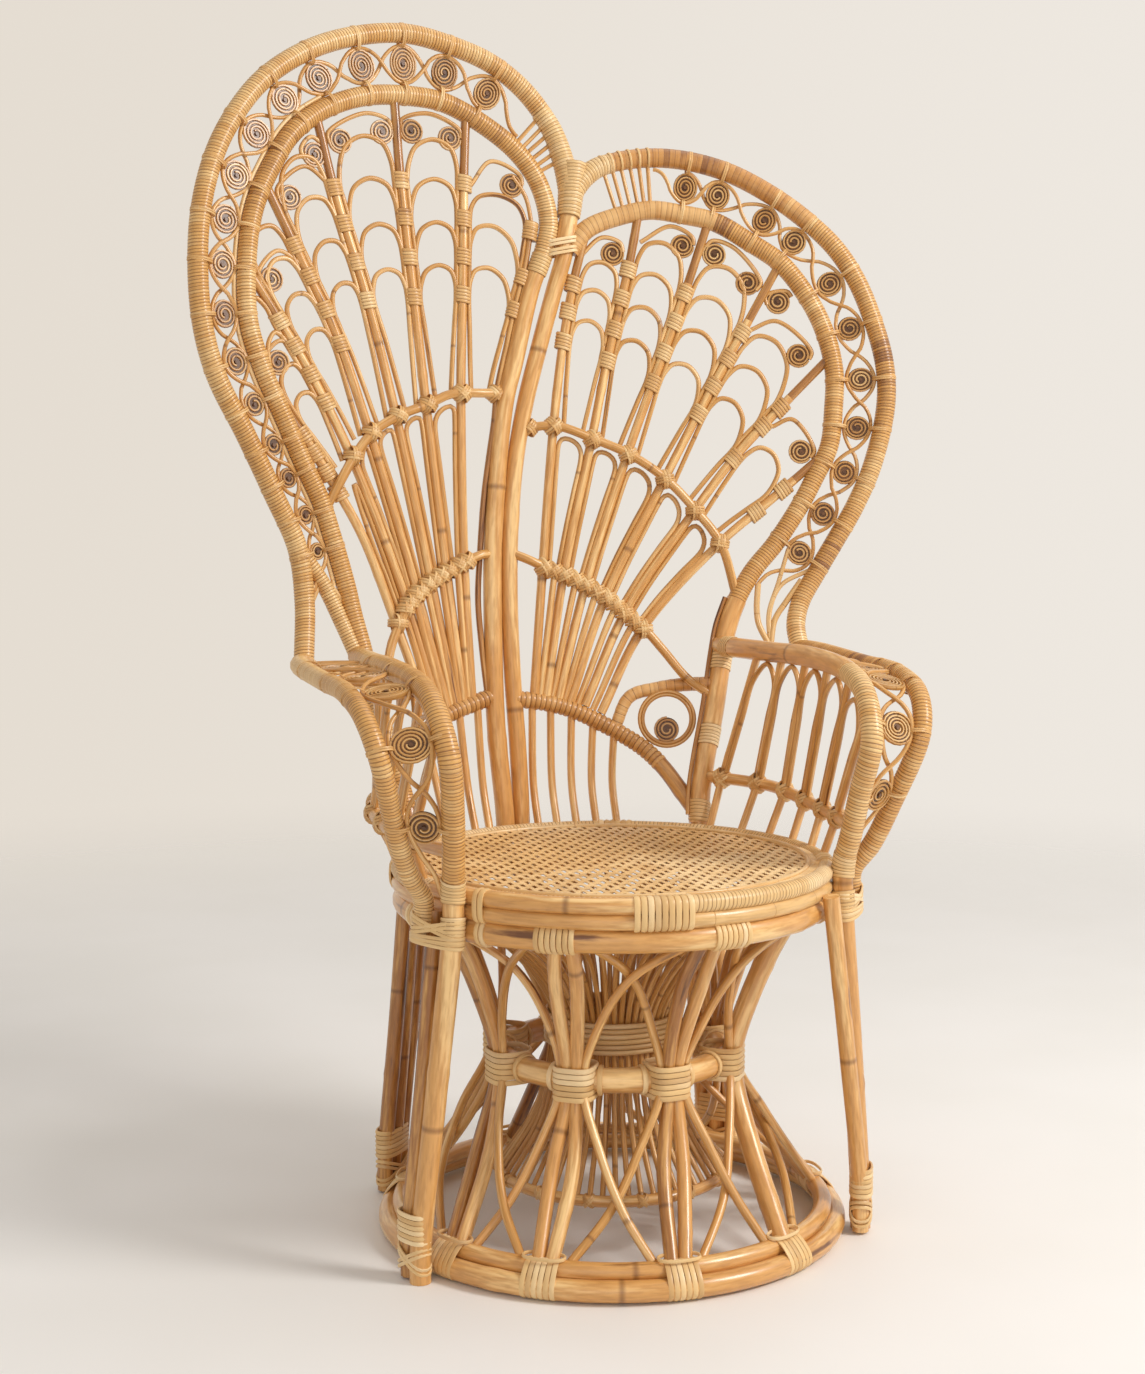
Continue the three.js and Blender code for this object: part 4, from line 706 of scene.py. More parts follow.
class Bundle:
    """Gathers swept strands, in one finish or more, and makes one piece of them."""

    def __init__(self, name: str, seed: int) -> None:
        """Starts an empty bundle with its own dice for the strands' tones."""
        self.name = name
        self.dice = np.random.default_rng(seed)
        self.points: list[Array] = []
        self.tones: list[Array] = []
        self.faces: list[list[int]] = []
        self.uvs: list[Array] = []
        self.slots: list[int] = []
        self.looks: list[Look] = []
        self.count = 0

    def _frames(self, track: Array, hint: Optional[Array], closed: bool) -> tuple:
        """The way, side and top directions at each sample of a track, without twist."""
        ways = np.roll(track, -1, 0) - np.roll(track, 1, 0) if closed else np.gradient(track, axis=0)
        ways /= np.linalg.norm(ways, axis=1)[:, None]
        side = np.eye(3)[np.argmin(np.abs(ways[0]))] if hint is None else np.array(hint, float)
        sides = np.empty_like(track)
        for i, way in enumerate(ways):
            side = side - way * way.dot(side)
            side = side / math.sqrt(side.dot(side))
            sides[i] = side
        return ways, sides, np.cross(ways, sides)

    def strand(self, track: Array, radius: float | Array, look: Look, sides: int = 8,
               hint: Optional[Array] = None, oval: float = 1.0, tilt: float = 0.0,
               closed: bool = False, marks: Optional[Array] = None) -> None:
        """Sweeps a round or oval section along a track and closes its ends.

        Args:
            track: the places that the strand passes, in millimetres.
            radius: its radius, or one for each place.
            look: its finish.
            sides: facets round it.
            hint: the direction that its oval lies along.
            oval: its depth as a share of its width.
            tilt: how much its rings lean over.
            closed: whether the track closes on itself.
            marks: the pattern's length coordinate at each place, or metres where it is left out.
        """
        count = len(track)
        ways, across, top = self._frames(track, hint, closed)
        turns = math.tau * (np.arange(sides) + 0.5) / sides
        cos, sin = np.cos(turns)[None, :, None], np.sin(turns)[None, :, None]
        radii = np.broadcast_to(radius, (count,))[:, None, None]
        rings = across[:, None] * cos + oval * top[:, None] * sin + tilt * ways[:, None] * cos
        self.points.append((track[:, None] + radii * rings).reshape(-1, 3))
        self.tones.append(np.full(count * sides, self.dice.random()))
        if marks is None:
            loop = np.vstack([track, track[:1]]) if closed else track
            marks = np.concatenate([[0], np.cumsum(np.linalg.norm(np.diff(loop, axis=0), axis=1))]) * MM
        spans = count if closed else count - 1
        row, column = (grid.ravel() for grid in np.mgrid[0:spans, 0:sides])
        after, beside = (row + 1) % count, (column + 1) % sides
        quads = np.stack([row * sides + column, row * sides + beside,
                          after * sides + beside, after * sides + column], 1) + self.count
        u, v = np.stack([column, column + 1, column + 1, column], 1) / sides, marks[
            np.stack([row, row, row + 1, row + 1], 1)]
        self.faces.extend(quads.tolist())
        self.uvs.append(np.stack([u, v], 2).reshape(-1, 2))
        if not closed:
            rim = np.arange(sides)
            first, last = rim[::-1] + self.count, rim + self.count + (count - 1) * sides
            self.faces.extend([first.tolist(), last.tolist()])
            for ends, mark in ((rim[::-1], marks[0]), (rim, marks[-1])):
                self.uvs.append(np.stack([ends / sides, np.full(sides, mark)], 1))
        if look not in self.looks:
            self.looks.append(look)
        self.slots.extend([self.looks.index(look)] * (len(quads) + (0 if closed else 2)))
        self.count += count * sides

    def wrap(self, line: Line, start: float, end: float, radius: float | tuple[float, float],
             pitch: float, look: Look = Look.FINE_WRAP, ridge: float = 0.4, sides: int = 12,
             hint: Optional[Array] = None, oval: float = 1.0, tilt: float = 0.1) -> None:
        """Winds cane round a stretch of a line, one ridge for each turn.

        Args:
            line: the line that is wrapped.
            start: where the wrap begins.
            end: where it ends.
            radius: the wrap's outside, or one for each end.
            pitch: the cane's width.
            look: its finish.
            ridge: how far the joints between turns lie under the outside.
            sides: facets round it.
            hint: the direction that an oval lies along.
            oval: its depth as a share of its width.
            tilt: how much the turns lean over.
        """
        turns = max(2, round(abs(end - start) / pitch))
        count = 3 * turns + 1
        outside = np.linspace(*radius, count) if isinstance(radius, tuple) else np.full(count, radius)
        outside[::3] -= ridge
        self.strand(line.at(np.linspace(start, end, count)), outside, look, sides, hint, oval,
                           tilt, marks=np.arange(count) / 3)

    def pole(self, line: Line, start: float, end: float, radius: float, look: Look = Look.POLE,
             sides: int = 10, step: float = 10.0, node_gap: float = 290.0,
             swell: float = 0.07) -> None:
        """A bare pole with a slight swelling at each of its nodes.

        Args:
            line: the pole's line.
            start: where it begins.
            end: where it ends.
            radius: its radius.
            look: its finish.
            sides: facets round it.
            step: the distance between its sections.
            node_gap: the distance between its nodes.
            swell: how much thicker it is at a node.
        """
        track = line.part(start, end, step)
        marks = np.linspace(0, abs(end - start), len(track)) + node_gap * self.dice.random()
        near = np.abs((marks / node_gap) % 1 - 0.5) * 2
        radii = radius * (1 + swell * np.clip((near - 0.94) / 0.06, 0, 1))
        self.strand(track, radii, look, sides)

    def loop(self, centre: Array, across: Array, up: Array, radius: float,
             look: Look = Look.ROWS, steps: int = 14, sides: int = 6, square: float = 1.0,
             oval: float = 0.6) -> None:
        """One turn of cane round something: an oval ring with given half axes.

        Args:
            centre: its middle.
            across: one half axis.
            up: the other half axis.
            radius: the cane's radius.
            look: its finish.
            steps: places round the ring.
            sides: facets round the cane.
            square: under 1, how much the oval fills its corners.
            oval: the cane's thickness as a share of its width.
        """
        turns = np.linspace(0, math.tau, steps, endpoint=False)
        cos, sin = np.cos(turns), np.sin(turns)
        if square != 1.0:
            cos, sin = (np.sign(x) * np.abs(x) ** square for x in (cos, sin))
        track = centre + cos[:, None] * across + sin[:, None] * up
        turn = np.full(steps + 1, self.dice.integers(90) + 0.5)
        face = np.cross(across, up)
        self.strand(track, radius, look, sides, face, oval, closed=True, marks=turn)

    def coil(self, centre: Array, across: Array, up: Array, outside: float,
             tail: Optional[float] = None) -> None:
        """A flat spiral of split cane on its edge, wound from its outside to its middle, with painted
        shade: a dark disc behind its turns and a dark plug in its eye.

        Args:
            centre: its middle.
            across: the direction in which its outer end lies.
            up: the direction in which it starts to wind.
            outside: its outside radius.
            tail: how far from the middle its outer end starts, where that is not the outside.
        """
        half_deep, half_wide, gap, eye = 2.8, 1.75, 0.65, 4.2
        face = unit(np.cross(across, up))
        turns = max(2.0, (outside - half_wide - eye) / (2 * half_wide + gap))
        angle = np.linspace(0, math.tau * turns, 16 * math.ceil(turns))
        start = outside - half_wide if tail is None else tail
        reach = np.interp(angle, [0, math.pi, angle[-1]], [start, outside - half_wide - gap, eye])
        track = centre + reach[:, None] * (np.cos(angle)[:, None] * across + np.sin(angle)[:, None] * up)
        self.strand(track, half_deep, Look.COIL, 6, face, half_wide / half_deep)
        # painted shade: a dark disc behind the spiral darkens the gaps between its turns
        painted_shade_disc = np.array([centre - face * gap, centre + face * gap])
        self.strand(painted_shade_disc, outside - half_wide, Look.ROSETTE_SHADE, 24, across, np.linalg.norm(up))
        # painted shade: a dark plug darkens the rosette's eye
        middle = np.array([centre - face * half_deep, centre + face * half_deep])
        self.strand(middle, eye - half_wide, Look.ROSETTE_SHADE, 8)

    def cross_knot(self, centre: Array, first: Array, second: Array, face: Array,
                   reach: float, depth: float, cane: float, turns: int = 2) -> None:
        """Ties two crossing reeds with turns over both diagonals.

        Args:
            centre: the middle of the crossing.
            first: the direction of one reed.
            second: the direction of the other.
            face: the direction towards the sitter.
            reach: half the knot's length over the face.
            depth: half its depth through the crossing.
            cane: the radius of the cane.
            turns: how many lie side by side.
        """
        for sign in (-1, 1):
            diagonal = unit(first + sign * second)
            aside = unit(np.cross(diagonal, face))
            for shift in row_shifts(turns, 2 * cane):
                self.loop(centre + shift * aside, reach * diagonal, depth * face, cane, Look.TAN_ROWS)

    def make(self, slot: str, *nodes: str) -> bpy.types.Object:
        """Makes the piece, dresses it and lets it stand for CAD nodes.

        Args:
            slot: a material slot of the record; not used.
            nodes: the nodes that it replaces.

        Returns:
            The new object.
        """
        mesh = bpy.data.meshes.new(self.name)
        places = np.vstack(self.points) * MM + seat_middle()
        mesh.from_pydata(places.tolist(), [], self.faces)
        uv_map = mesh.uv_layers.new(name="UVMap")
        uv_map.data.foreach_set("uv", np.vstack(self.uvs).ravel())
        tone = mesh.attributes.new("tone", "FLOAT", "POINT")
        tone.data.foreach_set("value", np.concatenate(self.tones))
        mesh.polygons.foreach_set("material_index", self.slots)
        for look in self.looks:
            mesh.materials.append(MATERIALS[look])
        piece = bpy.data.objects.new(self.name, mesh)
        bpy.context.scene.collection.objects.link(piece)
        select_only(piece)
        bpy.ops.object.shade_smooth_by_angle(angle=math.radians(SMOOTH_ANGLE))
        return hand_in(piece, nodes)


def seat_middle() -> Array:
    """The middle of the seat over the floor, in the frame's metres."""
    low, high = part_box("apron_hoop")
    return np.array([(low.x + high.x) / 2, (low.y + high.y) / 2, 0])


def select_only(piece: bpy.types.Object) -> None:
    """Leaves one object selected and active."""
    bpy.ops.object.select_all(action="DESELECT")
    piece.select_set(True)
    bpy.context.view_layer.objects.active = piece


def hand_in(piece: bpy.types.Object, nodes: Sequence[str]) -> bpy.types.Object:
    """Puts a finished piece on its body and in place of its nodes, and reports it."""
    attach(piece, "root")
    if nodes:
        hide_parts(*nodes)
    log.info("%s: %d faces, for %s", piece.name, len(piece.data.polygons), ", ".join(nodes) or "no node")
    return piece


class SideName(Enum):
    """The two sides of the chair, seen from the front."""

    LEFT = -1
    RIGHT = 1

    @property
    def word(self) -> str:
        """The side's name as the nodes have it."""
        return self.name.lower()


@dataclass
class RailPair:
    """The room between two rails, along a stretch of the first."""

    first: Line
    second: Line
    radius: float
    stretch: Numbers = (0, 1)
    look_ahead_share: float = 0.004

    def at(self, share: float) -> tuple[Array, Array, float]:
        """The middle of the room, the direction across it and half its width."""
        start = self.first.share(mix(*self.stretch, share))
        across = self.second.at(self.second.nearest(start)) - start
        half = np.linalg.norm(across) / 2 - self.radius
        across = unit(across)
        return start + across * (self.radius + half), across, half

    def frame(self, share: float) -> tuple[Array, Array, float, Array, Array]:
        """The same, with the direction along the room and the one out of its face."""
        middle, across, half = self.at(share)
        reach = self.look_ahead_share
        along = self.at(min(share + reach, 1))[0] - self.at(max(share - reach, 0))[0]
        along = unit(along - across * along.dot(across))
        return middle, across, half, along, np.cross(across, along)


@dataclass
class Scrollwork:
    """Two reeds that pass each other between rosettes, tied to both rails."""

    rosette_share: float = 0.9
    along_most: float = 19.0
    reed: float = 2.7
    steps: int = 12
    tie_cane: float = 1.2
    tie_turns: int = 2
    fullness: float = 0.8

    def build(self, bundle: Bundle, pair: RailPair, places: Numbers) -> None:
        """Adds the scrollwork with rosettes at given shares of the room to a bundle."""
        for side in (-1, 1):
            self._reed(bundle, pair, places, side)
        for place in places:
            middle, across, half, along, face = pair.frame(place)
            reach = half * self.rosette_share
            long_reach = min(self.along_most, reach * 1.08)
            bundle.coil(middle, across, along * (long_reach / reach), reach)
            self._ties(bundle, pair, place)

    def _reed(self, bundle: Bundle, pair: RailPair, places: Numbers, side: int) -> None:
        """One reed that swings from rail to rail; one of its ends goes round the last rosette."""
        count = len(places)
        marks = np.arange(count) + 0.5
        first, last = places[1] - places[0], places[-1] - places[-2]
        knots = [places[0] - first, *places, places[-1] + last]
        half_cell = self.steps // 2
        extend = -half_cell if side > 0 else half_cell
        points = []
        for i in range(extend, count * self.steps + 1 + extend):
            share = float(np.interp(i / self.steps, [-0.5, *marks, count + 0.5], knots))
            middle, across, half, _, face = pair.frame(share)
            phase = math.pi * (i / self.steps - 0.5)
            swing = math.copysign(abs(math.cos(phase)) ** self.fullness, math.cos(phase))
            crossing = side * (self.reed + CHAIR.fit_gap) * abs(math.sin(phase))
            points.append(middle + across * side * swing * (half - self.reed) + face * crossing)
        bundle.strand(np.array(points), self.reed, Look.REED, 6)

    def _ties(self, bundle: Bundle, pair: RailPair, share: float) -> None:
        """Turns of cane that tie the reeds to both rails where they touch."""
        middle, across, half, along, face = pair.frame(share)
        outside = pair.radius + self.tie_cane * 0.1
        inside = pair.radius + 2 * self.reed + self.tie_cane * 0.3
        for sign in (-1, 1):
            centre = middle + sign * across * (half + pair.radius - (inside - outside) / 2)
            for shift in row_shifts(self.tie_turns, 2.1 * self.tie_cane):
                bundle.loop(centre + shift * along, across * (inside + outside) / 2, face * outside,
                            self.tie_cane, Look.TAN_ROWS, 16)


@dataclass
class Seat:
    """The round seat: two hoops, the apron hoop under them and the caned top."""

    wrap_start: float = -14.0
    wrap_end: float = 288.0
    pale_end: float = 60.0
    wrap_pitch: float = 5.0
    wrap_radius: float = 10.2
    web_drop: float = 2.0
    web_thickness: float = 0.9
    cells: int = 194
    cell: float = 2.5
    hole_pitch: tuple = (4, 10)
    hole_cells: tuple = (2, 6)
    rim_inset: float = 11.0
    rim_cane: float = 3.0
    rim_lift: float = 0.4
    ripple: float = 0.35
    lashing_rows: int = 7
    lashing_cane: float = 3.1
    flat_cane: float = 3.6
    apron: float = 14.4
    apron_drop: float = 2.0
    leg_binding: tuple = (-54.0, 2)
    lashings: tuple = ((-7.5, 9), (72, 7), (160, 7), (250, 7))

    def build(self) -> None:
        """Makes the hoops, their lashings and the caned top."""
        self.build_upper()
        self.build_lower()
        self.build_apron()
        self.build_web()

    def build_upper(self) -> None:
        """The upper hoop, bare at the front left and wrapped from the front round the back."""
        bundle = Bundle("seat_hoop_upper_cane", 11)
        line = arc_line(CHAIR.seat_line, CHAIR.upper_hoop_level, self.wrap_start, self.wrap_end)
        bundle.wrap(line, 0, line.length, self.wrap_radius, self.wrap_pitch, Look.ROWS, 0.2)
        bare = arc_line(CHAIR.seat_line, CHAIR.upper_hoop_level, self.wrap_end - 2 - FULL_TURN,
                        self.wrap_start + 2)
        bundle.pole(bare, 0, bare.length, CHAIR.seat_hoop, sides=14)
        bundle.make("rattan_honey", "seat_hoop_upper")

    def build_lower(self) -> None:
        """The bare lower hoop, with one lashing over both hoops at the front."""
        bundle = Bundle("seat_hoop_lower_pole", 12)
        line = arc_line(CHAIR.seat_line, CHAIR.lower_hoop_level, self.wrap_start, self.pale_end)
        bundle.pole(line, 0, line.length, CHAIR.seat_hoop, Look.SEAT, 14)
        start, end = self.pale_end - 1, self.wrap_start + FULL_TURN + 1
        rest = arc_line(CHAIR.seat_line, CHAIR.lower_hoop_level, start, end)
        bundle.pole(rest, 0, rest.length, CHAIR.seat_hoop, sides=14)
        middle = (CHAIR.upper_hoop_level + CHAIR.lower_hoop_level) / 2
        tall = CHAIR.seat_height - middle + self.lashing_cane / 2
        for turn, rows in (*self.lashings, self.leg_binding):
            for shift in row_shifts(rows, 2 * self.flat_cane):
                degrees = turn + math.degrees(shift / CHAIR.seat_line)
                bundle.loop(polar(CHAIR.seat_line, degrees, middle),
                            outward_at(degrees) * (CHAIR.seat_hoop + self.lashing_cane / 2),
                            UP * tall, self.flat_cane, steps=14, square=0.7, oval=0.45)
        bundle.make("rattan_honey", "seat_hoop_lower")

    def build_apron(self) -> None:
        """The thick bare hoop under the seat, tied to each strut with upright rows."""
        bundle = Bundle("apron_hoop_pole", 13)
        level = CHAIR.apron_level - self.apron_drop
        line = arc_line(CHAIR.apron_line, level, -75, 285)
        bundle.pole(line, 0, line.length, self.apron, sides=16, node_gap=420)
        start = WAIST_START_TURN + APRON_LEAD_TURN
        lashings = [(start + FULL_TURN * strut / STRUT_COUNT, self.lashing_rows)
                    for strut in range(STRUT_COUNT)]
        for turn, rows in (*lashings, self.leg_binding):
            for shift in row_shifts(rows, 2 * self.lashing_cane):
                degrees = turn + math.degrees(shift / CHAIR.apron_line)
                reach = self.apron + self.lashing_cane * 0.3
                bundle.loop(polar(CHAIR.apron_line, degrees, level), outward_at(degrees) * reach,
                            UP * reach, self.lashing_cane, steps=16)
        bundle.make("rattan_honey", "apron_hoop")

    def build_web(self) -> None:
        """The open cane weave: a grid whose holes are staggered from row to row."""
        size = self.cells * self.cell * MM
        top = CHAIR.seat_height - self.web_drop
        middle = seat_middle()
        bpy.ops.object.select_all(action="DESELECT")
        bpy.ops.mesh.primitive_grid_add(
            x_subdivisions=self.cells, y_subdivisions=self.cells, size=size,
            location=(middle[0], middle[1], (top - self.web_thickness / 2) * MM))
        web = bpy.context.object
        web.name = web.data.name = "seat_cane_web"
        bpy.ops.object.mode_set(mode="EDIT")
        bpy.ops.mesh.select_mode(type="FACE")
        bpy.ops.mesh.select_all(action="DESELECT")
        bpy.ops.object.mode_set(mode="OBJECT")
        bpy.ops.object.transform_apply(location=True, rotation=True, scale=True)
        reach = (CHAIR.seat_line - CHAIR.seat_hoop * 0.5) * MM
        keep = (CHAIR.seat_line - CHAIR.seat_hoop - self.rim_inset) * MM
        for polygon in web.data.polygons:
            x, y = polygon.center.x - middle[0], polygon.center.y - middle[1]
            across = math.floor(x / (self.cell * MM) + self.cells / 2)
            along = math.floor(y / (self.cell * MM) + self.cells / 2)
            (wide, deep), (hole_wide, hole_deep) = self.hole_pitch, self.hole_cells
            stagger = deep // 2 * (across // wide % 2)
            hole = across % wide < hole_wide and (along + stagger) % deep < hole_deep
            away = math.hypot(x, y)
            polygon.select = away > reach or (hole and away < keep)
        for vertex in web.data.vertices:
            x, y = vertex.co.x - middle[0], vertex.co.y - middle[1]
            across, along = round(x / (self.cell * MM)), round(y / (self.cell * MM))
            vertex.co.z += self.ripple * MM * (1 if (across // 2 + along) % 2 else -1)
        bpy.ops.object.mode_set(mode="EDIT")
        bpy.ops.mesh.delete(type="FACE")
        bpy.ops.object.mode_set(mode="OBJECT")
        solid = web.modifiers.new("thickness", "SOLIDIFY")
        solid.thickness = self.web_thickness * MM
        solid.offset = 0
        bpy.ops.object.modifier_apply(modifier=solid.name)
        uv_map = web.data.uv_layers.active
        uv_map.name = "UVMap"
        uvs = np.empty(2 * len(uv_map.data))
        uv_map.data.foreach_get("uv", uvs)
        uv_map.data.foreach_set("uv", uvs * size)
        web.data.materials.append(MATERIALS[Look.SEAT])
        hand_in(web, ["seat_web"])
        rim = Bundle("seat_rim_cane", 14)
        rim_line = CHAIR.seat_line - CHAIR.seat_hoop - self.rim_inset
        line = arc_line(rim_line, top + self.rim_lift, 0, FULL_TURN)
        rim.pole(line, 0, line.length, self.rim_cane, Look.SEAT, 8, swell=0)
        rim.make("cane_pale")


@dataclass
class BaseHoops:
    """The waist hoop and the two hoops on the floor, with the struts' ties."""

    ground_radius: float = 12.2
    ground_level: float = 13.9
    inner_radius: float = 10.6
    inner_turn: float = 50.0
    tie_cane: float = 3.3
    tie_rows: int = 6
    foot_lift: float = 13.0
    foot_wide: float = 24.0
    foot_deep: float = 11.5
    foot_cane: float = 2.2
    tie_flat: float = 0.4

    @property
    def ground_line(self) -> float:
        """Radius of the outer floor hoop's centre line."""
        return CHAIR.ground_radius - CHAIR.ground_hoop

    @property
    def inner_gap(self) -> float:
        """Distance between the centre lines of the two floor hoops, whose solids have six sides."""
        facet = FULL_TURN / 6
        share = CHAIR.facet / math.cos(math.radians(self.inner_turn % facet - facet / 2))
        return (CHAIR.ground_hoop + CHAIR.ground_inner_hoop) * share + CHAIR.fit_gap

    @property
    def inner_line(self) -> float:
        """Radius of the inner floor hoop's centre line."""
        return self.ground_line - self.inner_gap * math.cos(math.radians(self.inner_turn))

    @property
    def inner_level(self) -> float:
        """Height of the inner floor hoop's middle."""
        return CHAIR.ground_hoop * CHAIR.facet + self.inner_gap * math.sin(math.radians(self.inner_turn))

    def build(self) -> None:
        """Makes the three hoops and the ties at the struts' feet."""
        self._hoop("waist_hoop", CHAIR.waist_radius, CHAIR.waist_height, CHAIR.waist_hoop, 21)
        self._hoop("ground_hoop", self.ground_line, self.ground_level, self.ground_radius, 22)
        self._hoop("ground_hoop_inner", self.inner_line, self.inner_level, self.inner_radius, 23)
        ties = Bundle("ground_hoop_ties", 24)
        for turn in STRUT_GROUND_TURNS:
            self._foot_ties(ties, turn)
        ties.make("cane_pale")

    def _hoop(self, node: str, line_radius: float, level: float, radius: float,
              seed: int) -> None:
        """One bare hoop, whose joint lies elsewhere than on the others."""
        bundle = Bundle(node + "_pole", seed)
        line = arc_line(line_radius, level, seed * 40, seed * 40 + FULL_TURN)
        bundle.pole(line, 0, line.length, radius, sides=16, node_gap=430)
        bundle.make("rattan_honey", node)

    def _foot_ties(self, bundle: Bundle, turn: float) -> None:
        """Upright rows of cane round both floor hoops at a strut's foot, and one round the foot."""
        for shift in row_shifts(self.tie_rows, 2 * self.tie_cane):
            degrees = turn + math.degrees(shift / self.ground_line)
            around = np.cross(UP, outward_at(degrees))
            low = polar(self.ground_line, degrees, self.ground_level)
            high = polar(self.inner_line, degrees, self.inner_level)
            away = high - low
            length = np.linalg.norm(away) / 2
            round_hoops = (self.ground_radius + self.inner_radius) / 2 - self.tie_flat
            long_axis = unit(away) * (length + round_hoops)
            wide_axis = unit(np.cross(around, away)) * (self.ground_radius + self.tie_cane * 0.3)
            centre = (low + high) / 2 + unit(away) * (self.inner_radius - self.ground_radius) / 2
            bundle.loop(centre, long_axis, wide_axis, self.tie_cane, steps=20, square=0.85,
                        oval=self.tie_flat)
        foot = polar(self.inner_line, turn, self.inner_level + self.foot_lift)
        outward = outward_at(turn)
        bundle.loop(foot, np.cross(UP, outward) * self.foot_wide, outward * self.foot_deep,
                    self.foot_cane, steps=20, square=0.8)


@dataclass
class Struts:
    """Eight strut bundles: pole pairs, crossing reeds and their waist lashings."""

    lashing_height: float = 36.0
    pole_bite: float = 0.8
    rows: int = 6
    row_cane: float = 3.3
    lashing_wide: float = 22.5
    strut: float = 8.2
    cross_reed: float = 5.2
    thick_index: int = 2
    thick_strut: float = 12.0

    def radii(self) -> tuple[float, float, float]:
        """Radii of the poles at the apron, the waist and the foot."""
        hoop_facet = math.cos(math.pi / 24)
        waist = (CHAIR.waist_radius + CHAIR.waist_hoop) * hoop_facet + CHAIR.strut * CHAIR.facet
        top = CHAIR.apron_line - CHAIR.apron_hoop - CHAIR.strut - CHAIR.fit_gap
        return top, waist + CHAIR.fit_gap, BaseHoops().inner_line

    def ground_turn(self, index: int) -> float:
        """A strut's turn at the floor, which goes on round past the last one."""
        return STRUT_GROUND_TURNS[index % STRUT_COUNT] + FULL_TURN * (index // STRUT_COUNT)

    def pole_points(self, index: int, side: int, waist_turn: float) -> list[Array]:
        """Places of one pole of a pair."""
        top, waist, foot = self.radii()
        level = BaseHoops().inner_level
        apart = math.degrees(side * (CHAIR.strut + CHAIR.fit_gap))
        tied = waist_turn + math.degrees(side * CHAIR.strut * self.pole_bite) / waist
        at_apron = (top, waist_turn + APRON_LEAD_TURN + apart / top, CHAIR.apron_level)
        at_waist = (waist, waist_turn + 2 * apart / waist, CHAIR.waist_height)
        at_ground = (foot, self.ground_turn(index) + apart / foot, level)
        half = self.lashing_height / 2
        return [
            polar(top, at_apron[1], CHAIR.apron_level + CHAIR.apron_hoop / 2),
            between(at_waist, at_apron, SHOULDER_SHARES),
            polar(waist, tied, CHAIR.waist_height + half),
            polar(waist, tied, CHAIR.waist_height - half),
            between(at_waist, at_ground, SHIN_SHARES),
            polar(foot, at_ground[1], level),
        ]

    def reed_points(self, index: int, side: int, waist_turn: float) -> list[Array]:
        """Places of one reed that crosses over to the neighbouring struts."""
        top, waist, foot = self.radii()
        level = BaseHoops().inner_level
        start = CHAIR.strut * (1 + self.pole_bite) * side
        end = (2 * CHAIR.strut + 2 * CHAIR.cross_reed) * side
        lift = side * (CHAIR.cross_reed + CHAIR.fit_gap)
        turn = waist_turn + math.degrees(start / waist)
        apron_turn = (waist_turn + APRON_LEAD_TURN + side * FULL_TURN / STRUT_COUNT
                      - math.degrees(end / CHAIR.apron_line))
        foot_turn = self.ground_turn(index + side) - math.degrees(end / foot)
        at_waist = (waist + lift, turn, CHAIR.waist_height)
        at_apron = (top + lift, apron_turn, CHAIR.apron_level)
        at_ground = (foot + lift, foot_turn, level)
        return [
            polar(CHAIR.apron_line, apron_turn, CHAIR.apron_level),
            *(between(at_waist, at_apron, shares) for shares in CROSS_RISE_SHARES),
            polar(waist, turn, CHAIR.waist_height),
            *(between(at_waist, at_ground, shares) for shares in CROSS_FALL_SHARES),
            polar(foot, foot_turn, level),
        ]

    def build(self) -> None:
        """Makes each strut and all the waist lashings."""
        lashings = Bundle("waist_lashings", 39)
        for index in range(STRUT_COUNT):
            turn = WAIST_START_TURN + FULL_TURN * index / STRUT_COUNT
            bundle = Bundle(f"base_strut_{index + 1}_poles", 30 + index)
            for side in (-1, 1):
                if index != self.thick_index:
                    look = Look.DARK_POLE if (index + side) % 3 == 0 else Look.POLE
                    pole = Line(self.pole_points(index, side, turn))
                    bundle.pole(pole, 0, pole.length, self.strut, look, 12)
                reed = Line(self.reed_points(index, side, turn))
                look = Look.REED if index % 2 else Look.POLE
                bundle.pole(reed, 0, reed.length, self.cross_reed, look, 8)
            if index == self.thick_index:
                pair = zip(self.pole_points(index, -1, turn), self.pole_points(index, 1, turn))
                pole = Line([(left + right) / 2 for left, right in pair])
                bundle.pole(pole, 0, pole.length, self.thick_strut, sides=14)
            slot = "rattan_dark" if index % 2 else "rattan_honey"
            bundle.make(slot, f"base_strut_{index + 1}")
            self._lash(lashings, turn)
        lashings.make("cane_pale")

    def _lash(self, bundle: Bundle, turn: float) -> None:
        """Level rows of cane round a strut and the waist hoop."""
        _, waist, _ = self.radii()
        outside = waist + self.strut + self.row_cane * 0.6
        inside = CHAIR.waist_radius - CHAIR.waist_hoop - self.row_cane
        outward = outward_at(turn)
        around = np.cross(UP, outward)
        for shift in row_shifts(self.rows, 2 * self.row_cane):
            centre = polar((outside + inside) / 2, turn, CHAIR.waist_height + shift)
            bundle.loop(centre, outward * (outside - inside) / 2, around * self.lashing_wide,
                        self.row_cane, steps=24, square=0.6)
        for sign in (-1, 1):
            aside = self.lashing_wide + 1.4 * self.row_cane
            beside = turn + sign * math.degrees(aside / CHAIR.waist_radius)
            reach = CHAIR.waist_hoop + self.row_cane * 0.4
            bundle.loop(polar(CHAIR.waist_radius, beside, CHAIR.waist_height), outward_at(beside) * reach,
                        UP * reach, self.row_cane, steps=20)


